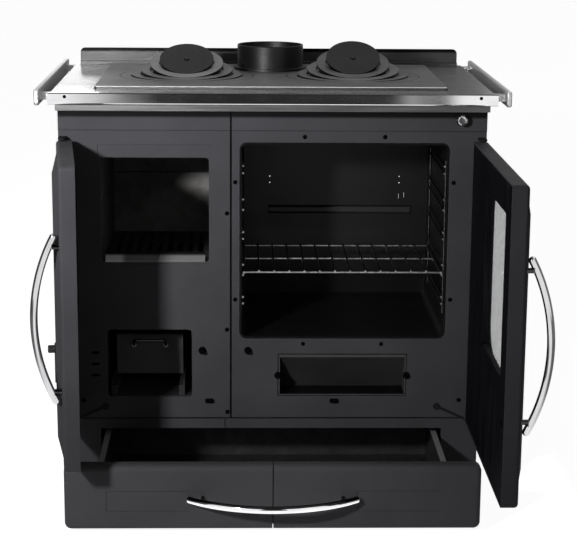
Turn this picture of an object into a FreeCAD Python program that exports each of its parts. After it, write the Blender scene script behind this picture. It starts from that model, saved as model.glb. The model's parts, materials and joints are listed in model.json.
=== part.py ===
import FreeCAD, Part
import math
import os
from types import SimpleNamespace

import Sketcher
from FreeCAD import Placement, Rotation, Vector

# A wood cookstove: firebox on the left, oven on the right, fuel drawer below, hot plate on top.
# Frame: +X to the right of the stove's front, +Y to its back, +Z up, origin on the floor under
# the middle of the body. The doors stand open, the drawer is pulled out and the rings are fanned up.

# Driving dimensions in millimetres and degrees, each with what it measures
DIMENSIONS = (
    ("body_width", 874, "across the side panels"),
    ("body_depth", 560, "front plates to back panel"),
    ("body_top", 824, "top of the side panels above the floor"),
    ("sheet", 2.5, "thickness of the outer sheet metal"),
    ("flange", 20, "returns folded on the side panels"),
    ("base_width", 834, "plinth pan, side to side"),
    ("base_depth", 500, "plinth pan, front to back"),
    ("base_setback", 45, "plinth pan behind the front plates"),
    ("base_height", 14, "plinth pan"),
    ("plate", 6, "thickness of the front plates"),
    ("plate_bottom", 172, "lower edge of the front plates"),
    ("seam_x", -86, "seam between the two front plates"),
    ("seam_gap", 2, "width of the seams in the front"),
    ("fascia_bottom", 784, "lower edge of the raised band above the doors"),
    ("fascia_raise", 3, "height of that band over the plates"),
    ("fire_left", -353, "firebox opening"),
    ("fire_width", 222, "firebox opening"),
    ("fire_bottom", 509, "firebox opening"),
    ("fire_height", 218, "firebox opening"),
    ("fire_corner", 8, "firebox and ash openings"),
    ("fire_field_side", 5, "sunk field beside the firebox opening"),
    ("fire_field_top", 27.5, "sunk field above the firebox opening"),
    ("fire_field_depth", 1.5, "sunk field round the firebox opening"),
    ("ash_left", -343.5, "ash opening"),
    ("ash_width", 176, "ash opening"),
    ("ash_bottom", 219, "ash opening"),
    ("ash_height", 146, "ash opening"),
    ("pan_left", -331, "ash pan front"),
    ("pan_width", 142, "ash pan front"),
    ("pan_setback", 100, "ash pan behind the front plate"),
    ("pan_bottom", 242, "ash pan above the floor"),
    ("pan_height", 88, "ash pan front"),
    ("pan_band", 53, "lower edge of the band on the ash pan front, from its foot"),
    ("oven_left", -68, "oven opening"),
    ("oven_width", 430, "oven opening"),
    ("oven_bottom", 346, "oven opening"),
    ("oven_height", 413, "oven opening"),
    ("oven_corner", 15, "oven opening"),
    ("oven_depth", 420, "oven, front to back"),
    ("soot_left", 12.5, "soot opening under the oven"),
    ("soot_width", 271, "soot opening"),
    ("soot_bottom", 221, "soot opening"),
    ("soot_height", 92, "soot opening"),
    ("soot_recess", 64, "depth of the hollow in the soot cover"),
    ("soot_screw_z", 266, "thumbscrews of the soot cover"),
    ("soot_notch", 4.5, "radius of the notches round the thumbscrews"),
    ("air_slot_x", -377, "left end of the air slots"),
    ("air_slot_width", 16, "air slots"),
    ("air_slot_height", 5, "air slots"),
    ("air_slot_low", 264, "lowest air slot"),
    ("air_slot_pitch", 24.5, "air slots"),
    ("bay_half", 360, "half the drawer opening"),
    ("bay_top", 150, "top of the drawer opening"),
    ("bay_seam", -98, "seam in the strip over the drawer"),
    ("top_width", 900, "cooktop frame, side to side"),
    ("top_front", -297, "front edge of the cooktop frame"),
    ("top_back", 295, "rear edge of the cooktop frame"),
    ("top_height", 860, "cooktop frame above the floor"),
    ("top_thick", 12, "cooktop frame"),
    ("top_ledge", 4, "thickness of the ledge under the hot plate"),
    ("ledge_width", 14, "width of the ledge under the hot plate"),
    ("hot_width", 728, "hot plate"),
    ("hot_middle", -3, "middle of the hot plate and of the burners"),
    ("hot_front", -219, "front edge of the hot plate"),
    ("hot_depth", 462, "hot plate, front to back"),
    ("hot_height", 866, "hot plate above the floor"),
    ("burner_x", 180.5, "burner centres from the middle of the hot plate"),
    ("burner_y", -5, "burner centres"),
    ("burner_hole", 145.5, "radius of the burner holes"),
    ("ring_step", 7, "width of the steps that carry the rings"),
    ("ring_seat", 6, "depth of those steps"),
    ("ring_thick", 12, "rings and lids"),
    ("ring_gap", 1.5, "radial gap between rings"),
    ("ring_lift", 0.2, "gap under a ring that lies flat"),
    ("outer_ring_width", 22.5, "radial width of the outermost rings"),
    ("ring_width", 19.1, "radial width of the other rings"),
    ("lid_boss", 6, "radius of the lid's lifting boss"),
    ("left_large_fan", 1.8, "tilt of the left large ring over the outer one"),
    ("left_middle_fan", 5.8, "tilt of the left middle ring over the large one"),
    ("left_small_fan", 10.8, "tilt of the left small ring over the middle one"),
    ("left_lid_fan", 9.4, "tilt of the left lid over the small ring"),
    ("right_large_fan", 2.4, "tilt of the right large ring over the outer one"),
    ("right_middle_fan", 6.2, "tilt of the right middle ring over the large one"),
    ("right_small_fan", 10.4, "tilt of the right small ring over the middle one"),
    ("right_lid_fan", 13, "tilt of the right lid over the small ring"),
    ("flue_y", 142, "centre of the flue collar"),
    ("flue_outside", 74, "radius of the flue collar"),
    ("flue_inside", 70, "radius of the flue passage"),
    ("flue_flange", 82, "radius of the collar's foot"),
    ("flue_top", 921, "mouth of the flue collar above the floor"),
    ("rail_half", 455, "half the front rail"),
    ("rail_depth", 8, "front rail"),
    ("rail_bottom", 838, "front rail"),
    ("rail_height", 24, "front rail"),
    ("bar_inside", 469, "inner face of the side rails"),
    ("bar_thick", 10, "side rails"),
    ("bar_bottom", 838.5, "side rails"),
    ("bar_height", 32, "side rails"),
    ("bar_front", -328, "front end of the side rails"),
    ("bar_length", 633, "side rails"),
    ("hinge_x", 427, "hinge axes from the middle"),
    ("hinge_y", -304, "hinge axes"),
    ("hinge_end", 10, "door beyond its hinge axis"),
    ("hinge_pin", 4, "radius of the hinge pins"),
    ("running_gap", 0.05, "radial clearance of pins and rods"),
    ("door_inner", 20, "hinge axis to the door's inner face"),
    ("door_thick", 32, "door rim"),
    ("door_skin", 7, "front wall of the door behind its rim face"),
    ("door_wall", 3, "side walls of the door"),
    ("door_bottom", 170.5, "doors"),
    ("door_height", 595, "doors"),
    ("door_corner", 10, "corners of the doors"),
    ("door_round", 7, "rounding of the doors' outer edges"),
    ("left_reach", 327.5, "left hinge axis to the left door's free edge"),
    ("right_reach", 523.5, "right hinge axis to the right door's free edge"),
    ("left_open", 83.6, "how far the left door stands open"),
    ("right_open", 90, "how far the right door stands open"),
    ("pillow_foot", 24, "raised door field in from the rim"),
    ("pillow_inset", 50, "crest of the raised field in from the sides"),
    ("pillow_end", 60, "crest of the raised field in from the top and the bottom"),
    ("pillow_height", 10, "raised door field"),
    ("field_inset", 62, "sunk field in from the sides"),
    ("field_end", 68, "sunk field in from the top and the bottom"),
    ("field_depth", 3, "sunk field in the door"),
    ("liner_thick", 8, "door liners"),
    ("liner_sink", 2, "liners behind the door's inner face"),
    ("catch_z", 320, "door catches"),
    ("window_left", -404, "oven window from the right hinge axis"),
    ("window_width", 321, "oven window"),
    ("window_bottom", 354, "oven window"),
    ("window_height", 336, "oven window"),
    ("window_corner", 58, "oven window"),
    ("sight_left", -446, "opening in the oven door's liner from the hinge axis"),
    ("sight_width", 249, "opening in the oven door's liner"),
    ("sight_bottom", 396, "opening in the oven door's liner"),
    ("sight_height", 306, "opening in the oven door's liner"),
    ("sight_corner", 6, "opening in the oven door's liner"),
    ("glass", 4, "oven window pane"),
    ("handle_z", 471, "middle of the door handles"),
    ("handle_edge", 15.5, "door handles in from the free edge"),
    ("handle_chord", 328, "door handles, end to end"),
    ("handle_sag", 42, "bow of the door handles"),
    ("handle_bar", 7.2, "radius of the handle bars"),
    ("handle_gap", 0.5, "ends of the handle bars before the face that carries them"),
    ("handle_post", 5, "radius of the handle posts"),
    ("handle_post_at", 140, "posts from the middle of a handle"),
    ("air_x", 158, "air regulator from the left hinge axis"),
    ("air_z", 345, "air regulator"),
    ("air_disc", 40, "radius of the air regulator"),
    ("air_hole", 8, "air holes"),
    ("air_hole_at", 21, "air holes from the middle of the regulator"),
    ("drawer_half", 417, "half the drawer front"),
    ("drawer_bottom", 11, "drawer front"),
    ("drawer_height", 134, "drawer front"),
    ("drawer_thick", 30, "drawer front"),
    ("drawer_corner", 14, "outer corners of the drawer front"),
    ("drawer_gap", 4, "drawer front before the bay frame when shut"),
    ("drawer_pull", 199, "how far the drawer stands out"),
    ("drawer_box_half", 352, "half the drawer box"),
    ("drawer_box_depth", 400, "drawer box"),
    ("drawer_box_bottom", 24, "drawer box"),
    ("drawer_box_height", 111, "drawer box"),
    ("drawer_handle_chord", 341, "drawer handle, end to end"),
    ("drawer_handle_sag", 60, "bow of the drawer handle"),
    ("drawer_handle_z", 78, "drawer handle"),
    ("damper_x", 383, "damper knob"),
    ("damper_z", 808, "damper knob"),
    ("damper_rod", 4, "radius of the damper rod"),
    ("wire", 2.2, "radius of the oven's guide wires"),
)

document = FreeCAD.newDocument("wood_cookstove")
sheet = document.addObject("Spreadsheet::Sheet", "Dims")


class Size:
    """A length that carries its value and the spreadsheet expression behind it."""

    def __init__(self, text, value):
        self.text = text
        self.value = value

    def __add__(self, other):
        other = as_size(other)
        return Size(f"({self.text} + {other.text})", self.value + other.value)

    def __sub__(self, other):
        other = as_size(other)
        return Size(f"({self.text} - {other.text})", self.value - other.value)

    def __mul__(self, other):
        other = as_size(other)
        return Size(f"({self.text} * {other.text})", self.value * other.value)

    def __truediv__(self, other):
        other = as_size(other)
        return Size(f"({self.text} / {other.text})", self.value / other.value)

    def __radd__(self, other):
        return as_size(other) + self

    def __rsub__(self, other):
        return as_size(other) - self

    def __rmul__(self, other):
        return as_size(other) * self

    def __neg__(self):
        return as_size(0) - self


def as_size(number):
    """Give a plain number the same form as a driven length."""
    if isinstance(number, Size):
        return number
    return Size(f"({number})", float(number))


def fill_sheet():
    """Write the driving dimensions into the sheet and return them by name."""
    sizes = {}
    for row, (alias, value, note) in enumerate(DIMENSIONS, start=1):
        sheet.set(f"A{row}", alias)
        sheet.set(f"B{row}", str(value))
        sheet.setAlias(f"B{row}", alias)
        sheet.set(f"C{row}", note)
        sizes[alias] = Size(f"Dims.{alias}", float(value))
    document.recompute()
    return SimpleNamespace(**sizes)


d = fill_sheet()
HALF = d.body_width / 2
FRONT = -d.body_depth / 2
PLATE_BACK = FRONT + d.plate
BACK_INSIDE = d.body_depth / 2 - d.sheet
SIDE_INSIDE = HALF - d.sheet
DOOR_OUTER = d.door_inner - d.door_thick
DOOR_CREST = DOOR_OUTER - d.pillow_height
DOOR_FIELD = DOOR_CREST + d.field_depth
LINER_FACE = d.door_inner - d.liner_sink
DRAWER_BACK = FRONT - d.drawer_gap
DRAWER_FACE = DRAWER_BACK - d.drawer_thick
SIDES = {"left": -1, "right": 1}

nodes = []


def keep(item, label):
    """Name a finished sub-part and put it on the list of nodes."""
    item.Label = label
    nodes.append(item)
    return item


def place(item, across=0, deep=0, up=0):
    """Tie the base of a placement to its expressions."""
    for axis, size in zip("xyz", (across, deep, up)):
        item.setExpression(f"Placement.Base.{axis}", as_size(size).text)


def new_body(name):
    return document.addObject("PartDesign::Body", name)


def new_sketch(body, role, offset=0):
    """Attach a sketch to one of the body's own planes, moved along that plane's normal."""
    sketch = body.newObject("Sketcher::SketchObject", f"{body.Name}_sketch")
    plane = next(item for item in body.Origin.OriginFeatures if item.Role == role)
    sketch.AttachmentSupport = [(plane, "")]
    sketch.MapMode = "FlatFace"
    sketch.setExpression("AttachmentOffset.Base.z", as_size(offset).text)
    return sketch


def hold(sketch, kind, value, *references):
    """Add one dimension to a sketch and tie it to its expression."""
    value = as_size(value)
    number = sketch.addConstraint(Sketcher.Constraint(kind, *references, value.value))
    sketch.setExpression(f"Constraints[{number}]", value.text)


def hold_point(sketch, element, vertex, across, up):
    hold(sketch, "DistanceX", across, -1, 1, element, vertex)
    hold(sketch, "DistanceY", up, -1, 1, element, vertex)


def add_polygon(sketch, points):
    """Closed outline of straight lines through the points."""
    corners = [(as_size(across), as_size(up)) for across, up in points]
    spots = [Vector(across.value, up.value, 0) for across, up in corners]
    first = sketch.GeometryCount
    count = len(spots)
    for index, spot in enumerate(spots):
        sketch.addGeometry(Part.LineSegment(spot, spots[(index + 1) % count]), False)
    for index, (across, up) in enumerate(corners):
        following = first + (index + 1) % count
        sketch.addConstraint(Sketcher.Constraint("Coincident", first + index, 2, following, 1))
        hold_point(sketch, first + index, 1, across, up)


def add_rectangle(sketch, left, bottom, width, height):
    right = left + width
    top = bottom + height
    add_polygon(sketch, [(left, bottom), (right, bottom), (right, top), (left, top)])


def add_round_rectangle(sketch, left, bottom, width, height, radius):
    """Rectangle with four equal round corners."""
    left, bottom, width, height, radius = map(as_size, (left, bottom, width, height, radius))
    x_low, y_low, r = left.value, bottom.value, radius.value
    x_high = x_low + width.value
    y_high = y_low + height.value
    first = sketch.GeometryCount
    lines = (
        ((x_low + r, y_low), (x_high - r, y_low)),
        ((x_high, y_low + r), (x_high, y_high - r)),
        ((x_high - r, y_high), (x_low + r, y_high)),
        ((x_low, y_high - r), (x_low, y_low + r)),
    )
    for start, end in lines:
        sketch.addGeometry(Part.LineSegment(Vector(*start, 0), Vector(*end, 0)), False)
    centres = (
        (x_high - r, y_low + r),
        (x_high - r, y_high - r),
        (x_low + r, y_high - r),
        (x_low + r, y_low + r),
    )
    for quarter, centre in enumerate(centres):
        circle = Part.Circle(Vector(*centre, 0), Vector(0, 0, 1), r)
        start = (quarter - 1) * math.pi / 2
        sketch.addGeometry(Part.ArcOfCircle(circle, start, start + math.pi / 2), False)
    for side in range(4):
        line = first + side
        arc = first + 4 + side
        next_line = first + (side + 1) % 4
        sketch.addConstraint(Sketcher.Constraint("Tangent", line, 2, arc, 1))
        sketch.addConstraint(Sketcher.Constraint("Tangent", arc, 2, next_line, 1))
        level = "Horizontal" if side % 2 == 0 else "Vertical"
        sketch.addConstraint(Sketcher.Constraint(level, line))
    for corner in range(3):
        sketch.addConstraint(Sketcher.Constraint("Equal", first + 4 + corner, first + 5 + corner))
    hold(sketch, "Radius", radius, first + 4)
    hold(sketch, "DistanceX", left, -1, 1, first + 3, 1)
    hold(sketch, "DistanceY", bottom, -1, 1, first, 1)
    hold(sketch, "DistanceX", width, first + 3, 1, first + 1, 1)
    hold(sketch, "DistanceY", height, first, 1, first + 2, 1)


def add_circle(sketch, across, up, radius):
    across, up, radius = map(as_size, (across, up, radius))
    circle = Part.Circle(Vector(across.value, up.value, 0), Vector(0, 0, 1), radius.value)
    element = sketch.addGeometry(circle, False)
    hold(sketch, "Radius", radius, element)
    hold_point(sketch, element, 3, across, up)


def pad(body, sketch, length, backwards=False):
    """Raise the sketch along its normal, or against it."""
    feature = body.newObject("PartDesign::Pad", f"{body.Name}_pad")
    feature.Profile = sketch
    feature.setExpression("Length", as_size(length).text)
    feature.Reversed = backwards
    document.recompute()
    return feature


def pocket(body, sketch, length, backwards=False):
    """Sink the sketch against its normal, or along it, and make sure that it cuts."""
    before = body.Shape.Volume
    feature = body.newObject("PartDesign::Pocket", f"{body.Name}_pocket")
    feature.Profile = sketch
    feature.setExpression("Length", as_size(length).text)
    feature.Reversed = backwards
    document.recompute()
    if body.Shape.Volume >= before:
        raise RuntimeError(f"a pocket of {body.Name} cuts nothing")
    return feature


def revolve(body, sketch, axis, angle=360):
    feature = body.newObject("PartDesign::Revolution", f"{body.Name}_turn")
    feature.Profile = sketch
    feature.ReferenceAxis = (sketch, [axis])
    feature.setExpression("Angle", as_size(angle).text)
    feature.Midplane = True
    document.recompute()
    return feature


def fillet(body, radius, choose):
    """Round the edges of the body's last feature that the test picks out."""
    base = body.Tip
    names = [f"Edge{number}" for number, edge in enumerate(base.Shape.Edges, 1) if choose(edge)]
    feature = body.newObject("PartDesign::Fillet", f"{body.Name}_round")
    feature.Base = (base, names)
    feature.setExpression("Radius", as_size(radius).text)
    document.recompute()
    return feature


def repeat(body, feature, axis, length, count):
    """Repeat a feature in a row along an axis of its sketch."""
    pattern = body.newObject("PartDesign::LinearPattern", f"{body.Name}_row")
    pattern.Originals = [feature]
    pattern.Direction = (feature.Profile[0], [axis])
    pattern.setExpression("Length", as_size(length).text)
    pattern.Occurrences = count
    body.Tip = pattern
    document.recompute()
    return pattern


def runs_along(edge, axis):
    """Whether an edge is straight and parallel to an axis of the frame."""
    start, end = edge.firstVertex().Point, edge.lastVertex().Point
    step = end - start
    return edge.Curve.TypeId == "Part::GeomLine" and abs(getattr(step, axis)) > 0.999 * step.Length


def at_level(edge, axis, level):
    """Whether a whole edge lies on one level of an axis."""
    box = edge.BoundBox
    low = getattr(box, f"{axis.upper()}Min")
    high = getattr(box, f"{axis.upper()}Max")
    return abs(low - as_size(level).value) < 0.01 and abs(high - as_size(level).value) < 0.01


def block(name, left, front, bottom, width, depth, height):
    """Plain rectangular solid."""
    item = document.addObject("Part::Box", name)
    for prop, size in (("Length", width), ("Width", depth), ("Height", height)):
        item.setExpression(prop, as_size(size).text)
    place(item, left, front, bottom)
    return item


AXIS_TURNS = {
    "x": Rotation(Vector(0, 1, 0), 90),
    "y": Rotation(Vector(1, 0, 0), -90),
    "z": Rotation(),
}


def rod(name, axis, across, deep, up, radius, length):
    """Round bar that starts at a point and runs along +x, +y or +z."""
    item = document.addObject("Part::Cylinder", name)
    item.setExpression("Radius", as_size(radius).text)
    item.setExpression("Height", as_size(length).text)
    item.Placement = Placement(Vector(), AXIS_TURNS[axis])
    place(item, across, deep, up)
    return item


def cone(name, across, deep, up, radius, tip_radius, length):
    """Tapered boss that points to the front."""
    item = document.addObject("Part::Cone", name)
    item.setExpression("Radius1", as_size(radius).text)
    item.setExpression("Radius2", as_size(tip_radius).text)
    item.setExpression("Height", as_size(length).text)
    item.Placement = Placement(Vector(), Rotation(Vector(1, 0, 0), 90))
    place(item, across, deep, up)
    return item


def cut(name, base, tool):
    item = document.addObject("Part::Cut", name)
    item.Base = base
    item.Tool = tool
    return item


def fuse(name, pieces):
    item = document.addObject("Part::MultiFuse", name)
    item.Shapes = pieces
    item.Refine = True
    return item


def group(name, pieces):
    item = document.addObject("Part::Compound", name)
    item.Links = pieces
    return item


# Outer body

def make_base_pan():
    """Pressed plinth: closed floor, upright walls and a flange that carries the body."""
    body = new_body("base_pan")
    front = FRONT + d.base_setback
    sketch = new_sketch(body, "XY_Plane")
    add_rectangle(sketch, -d.base_width / 2, front, d.base_width, d.base_depth)
    pad(body, sketch, d.base_height)
    sketch = new_sketch(body, "XY_Plane", d.base_height)
    flange_front = PLATE_BACK + d.sheet
    add_rectangle(sketch, -SIDE_INSIDE, flange_front, SIDE_INSIDE * 2, BACK_INSIDE - d.sheet - flange_front)
    pad(body, sketch, d.sheet)
    sketch = new_sketch(body, "XY_Plane", d.base_height + d.sheet)
    add_rectangle(
        sketch,
        d.sheet - d.base_width / 2,
        front + d.sheet,
        d.base_width - d.sheet * 2,
        d.base_depth - d.sheet * 2,
    )
    pocket(body, sketch, d.base_height)
    keep(body, "base_pan")


def make_side_panels():
    """Sheet panels with a return folded in at the front and the back."""
    for side, way in SIDES.items():
        body = new_body(f"{side}_side_panel")
        sketch = new_sketch(body, "XY_Plane")
        outer, inner, lip = HALF * way, SIDE_INSIDE * way, (HALF - d.flange) * way
        add_polygon(sketch, [
            (outer, PLATE_BACK),
            (lip, PLATE_BACK),
            (lip, PLATE_BACK + d.sheet),
            (inner, PLATE_BACK + d.sheet),
            (inner, BACK_INSIDE - d.sheet),
            (lip, BACK_INSIDE - d.sheet),
            (lip, BACK_INSIDE),
            (outer, BACK_INSIDE),
        ])
        pad(body, sketch, d.body_top - d.base_height)
        place(body, up=d.base_height)
        keep(body, f"{side}_side_panel")


def make_back_panel():
    """Rear heat shield with a row of vents at its top and at its bottom."""
    vent_count, vent_width, vent_height = 9, 50, 8
    vent_pitch, vent_margin = 80, 60
    body = new_body("back_panel")
    sketch = new_sketch(body, "XZ_Plane", -d.body_depth / 2)
    add_rectangle(sketch, -HALF, d.base_height, d.body_width, d.body_top - d.base_height)
    pad(body, sketch, d.sheet)
    sketch = new_sketch(body, "XZ_Plane", -d.body_depth / 2)
    first = -vent_pitch * (vent_count - 1) / 2 - vent_width / 2
    for level in (d.base_height + vent_margin, d.body_top - vent_margin):
        add_rectangle(sketch, as_size(first), level, vent_width, vent_height)
    vents = pocket(body, sketch, d.sheet, backwards=True)
    repeat(body, vents, "H_Axis", vent_pitch * (vent_count - 1), vent_count)
    keep(body, "back_panel")


def make_bay_ceiling():
    """Heat shield between the drawer and the fire."""
    front = PLATE_BACK + d.sheet
    item = block(
        "bay_ceiling", -SIDE_INSIDE, front, d.plate_bottom + d.plate,
        SIDE_INSIDE * 2, BACK_INSIDE - d.sheet - front, d.sheet,
    )
    keep(item, "bay_ceiling")


def start_front_plate(name, left, width):
    """Body and main sketch of a front plate, with the plate's lower left corner at its origin."""
    body = new_body(name)
    sketch = new_sketch(body, "XZ_Plane")
    add_rectangle(sketch, as_size(0), as_size(0), width, d.body_top - d.plate_bottom)
    place(body, left, PLATE_BACK, d.plate_bottom)
    return body, sketch


def add_fascia(body, width):
    """Raised band across the top of a front plate, above the doors."""
    sketch = new_sketch(body, "XZ_Plane", d.plate)
    bottom = d.fascia_bottom - d.plate_bottom
    add_rectangle(sketch, as_size(0), bottom, width, d.body_top - d.fascia_bottom)
    pad(body, sketch, d.fascia_raise)


def make_firebox_front_plate():
    """Left front plate with the firebox opening, the ash opening and three air slots."""
    left = -HALF
    width = d.seam_x - d.seam_gap / 2 - left
    body, sketch = start_front_plate("firebox_front_plate", left, width)
    fire_x, fire_z = d.fire_left - left, d.fire_bottom - d.plate_bottom
    add_round_rectangle(sketch, fire_x, fire_z, d.fire_width, d.fire_height, d.fire_corner)
    ash_z = d.ash_bottom - d.plate_bottom
    add_round_rectangle(sketch, d.ash_left - left, ash_z, d.ash_width, d.ash_height, d.fire_corner)
    slot_count = 3
    for number in range(slot_count):
        slot_z = d.air_slot_low + d.air_slot_pitch * number - d.plate_bottom
        add_rectangle(sketch, d.air_slot_x - left, slot_z, d.air_slot_width, d.air_slot_height)
    pad(body, sketch, d.plate)
    add_fascia(body, width)
    sketch = new_sketch(body, "XZ_Plane", d.plate)
    side = d.fire_field_side
    field_height = d.fire_height + side + d.fire_field_top
    add_rectangle(sketch, fire_x - side, fire_z - side, d.fire_width + side * 2, field_height)
    pocket(body, sketch, d.fire_field_depth)
    keep(body, "firebox_front_plate")


def make_oven_front_plate():
    """Right front plate with the oven opening, the soot opening and the damper's hole."""
    left = d.seam_x + d.seam_gap / 2
    width = HALF - left
    body, sketch = start_front_plate("oven_front_plate", left, width)
    oven_z = d.oven_bottom - d.plate_bottom
    add_round_rectangle(sketch, d.oven_left - left, oven_z, d.oven_width, d.oven_height, d.oven_corner)
    soot_x, soot_z = d.soot_left - left, d.soot_bottom - d.plate_bottom
    add_rectangle(sketch, soot_x, soot_z, d.soot_width, d.soot_height)
    pad(body, sketch, d.plate)
    add_fascia(body, width)
    sketch = new_sketch(body, "XZ_Plane", d.plate)
    for edge in (soot_x, soot_x + d.soot_width):
        add_circle(sketch, edge, d.soot_screw_z - d.plate_bottom, d.soot_notch)
    pocket(body, sketch, d.plate)
    sketch = new_sketch(body, "XZ_Plane", d.plate + d.fascia_raise)
    hole = d.damper_rod + d.running_gap
    add_circle(sketch, d.damper_x - left, d.damper_z - d.plate_bottom, hole)
    pocket(body, sketch, d.plate + d.fascia_raise)
    keep(body, "oven_front_plate")


def make_bay_frame():
    """Strip over the drawer and the cheeks beside it, in two pieces that meet at a seam."""
    pieces = []
    for side, way in SIDES.items():
        body = new_body(f"bay_frame_{side}")
        sketch = new_sketch(body, "XZ_Plane", -PLATE_BACK)
        seam = d.bay_seam + d.seam_gap / 2 * way
        top = d.plate_bottom - d.seam_gap / 2
        add_polygon(sketch, [
            (HALF * way, d.base_height),
            (d.bay_half * way, d.base_height),
            (d.bay_half * way, d.bay_top),
            (seam, d.bay_top),
            (seam, top),
            (HALF * way, top),
        ])
        pad(body, sketch, d.plate)
        pieces.append(body)
    keep(group("bay_frame", pieces), "bay_frame")


def make_plate_screws():
    """Low domed screws that hold the plates to the boxes behind them."""
    head, tip, rise = 4.5, 3.2, 2.2
    over_and_under_oven, middle_columns = (334.5, 771), (65, 229)
    beside_oven, middle_rows = (-77, 371.5), (430, 677)
    spots = [(x, z) for x in middle_columns for z in over_and_under_oven]
    spots += [(x, z) for x in beside_oven for z in middle_rows]
    along_seam = [(-94, 612), (-94, 365), (-93, 186)]
    lower_corners = [(395.5, 212), (-395.5, 212)]
    spots += along_seam + lower_corners
    screws = []
    for number, (x, z) in enumerate(spots):
        screws.append(cone(f"plate_screw_{number}", x, FRONT, z, head, tip, rise))
    keep(group("plate_screws", screws), "plate_screws")


CATCH_X = {"left": -145.5, "right": -50}


def make_door_catches():
    """Two catch studs that enter the doors, and two buffers that the doors rest on."""
    head_radius, head_tip, head_length = 8, 7, 6
    nose_radius, nose_tip, nose_length = 5.5, 3.5, 9
    buffer_x, buffer_z = 131, 211
    buffer_width, buffer_height, buffer_thick, buffer_corner = 18, 9, 5, 3.5
    pieces = []
    for number, x in enumerate(CATCH_X.values()):
        head = cone(f"catch_head_{number}", x, FRONT, d.catch_z, head_radius, head_tip, head_length)
        nose_y = FRONT - head_length
        nose = cone(f"catch_nose_{number}", x, nose_y, d.catch_z, nose_radius, nose_tip, nose_length)
        pieces.append(fuse(f"catch_stud_{number}", [head, nose]))
    for side, way in SIDES.items():
        body = new_body(f"door_buffer_{side}")
        sketch = new_sketch(body, "XZ_Plane", -FRONT)
        left, bottom = buffer_x * way - buffer_width / 2, buffer_z - buffer_height / 2
        add_round_rectangle(sketch, left, bottom, buffer_width, buffer_height, buffer_corner)
        pad(body, sketch, buffer_thick)
        pieces.append(body)
    keep(group("door_catches", pieces), "door_catches")


def make_hinge_brackets():
    """Arms over and under each door with the pins it turns on, the lower ones with a brace."""
    arm, arm_half, arm_gap, pin_rise = 4, 8, 1.5, 13
    brace_overlap, brace_drop = 6, 1
    brace_foot_x, brace_foot_z = 349, 198
    brace_thick, brace_width = 3, 5
    foot_radius, foot_tip = 7.5, 6.5
    pieces = []
    for side, way in SIDES.items():
        axis_x = d.hinge_x * way
        door_top = d.door_bottom + d.door_height
        levels = {
            "lower": (d.door_bottom - arm_gap - arm, d.door_bottom - arm_gap - arm),
            "upper": (door_top + arm_gap, door_top - pin_rise),
        }
        for end, (arm_z, pin_z) in levels.items():
            name = f"hinge_{side}_{end}"
            parts = [
                block(
                    f"{name}_arm", axis_x - arm_half, d.hinge_y, arm_z,
                    arm_half * 2, FRONT - d.hinge_y, arm,
                ),
                rod(f"{name}_eye", "z", axis_x, d.hinge_y, arm_z, arm_half, arm),
                rod(f"{name}_pin", "z", axis_x, d.hinge_y, pin_z, d.hinge_pin, arm + arm_gap + pin_rise),
            ]
            if end == "lower":
                body = new_body(f"{name}_brace")
                sketch = new_sketch(body, "XZ_Plane", -FRONT)
                foot_x = as_size(brace_foot_x * way)
                end_x = axis_x - arm_half * way
                low = arm_z - brace_drop
                add_polygon(sketch, [
                    (foot_x, as_size(brace_foot_z - brace_width / 2)),
                    (end_x, low),
                    (end_x + brace_overlap * way, low),
                    (end_x + brace_overlap * way, low + brace_width),
                    (end_x, low + brace_width),
                    (foot_x, as_size(brace_foot_z + brace_width / 2)),
                ])
                pad(body, sketch, brace_thick)
                parts.append(body)
                foot_spot = (foot_x, FRONT, brace_foot_z)
                parts.append(cone(f"{name}_foot", *foot_spot, foot_radius, foot_tip, brace_thick))
            pieces.append(fuse(name, parts))
    keep(group("hinge_brackets", pieces), "hinge_brackets")


# Firebox and ash pit

FIRE_WALL = 4
BRICK = 30
FIRE_REAR = 150
FIRE_FLOOR = 476
FIRE_SIDE_GAP = 2
ASH_FLOOR_RISE = 1


def firebox_span():
    """Left and right inner faces of the firebox shell."""
    left = d.fire_left - FIRE_SIDE_GAP - BRICK
    right = d.fire_left + d.fire_width + FIRE_SIDE_GAP + BRICK
    return left, right


def make_firebox_shell():
    """Welded shell, open to the front and the top, with a floor that carries the grate."""
    left, right = firebox_span()
    rear = as_size(FIRE_REAR)
    body = new_body("firebox_shell")
    sketch = new_sketch(body, "XY_Plane", FIRE_WALL)
    add_polygon(sketch, [
        (left - FIRE_WALL, PLATE_BACK),
        (left, PLATE_BACK),
        (left, rear - FIRE_WALL),
        (right, rear - FIRE_WALL),
        (right, PLATE_BACK),
        (right + FIRE_WALL, PLATE_BACK),
        (right + FIRE_WALL, rear),
        (left - FIRE_WALL, rear),
    ])
    pad(body, sketch, d.body_top - FIRE_FLOOR - FIRE_WALL)
    sketch = new_sketch(body, "XY_Plane")
    width = right - left + FIRE_WALL * 2
    add_rectangle(sketch, left - FIRE_WALL, PLATE_BACK, width, rear - PLATE_BACK)
    hole_side, hole_front, hole_depth = 15, 35, as_size(320)
    hole_width = d.fire_width - hole_side * 2
    add_rectangle(sketch, d.fire_left + hole_side, PLATE_BACK + hole_front, hole_width, hole_depth)
    pad(body, sketch, FIRE_WALL)
    place(body, up=FIRE_FLOOR)
    keep(body, "firebox_shell")


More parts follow.
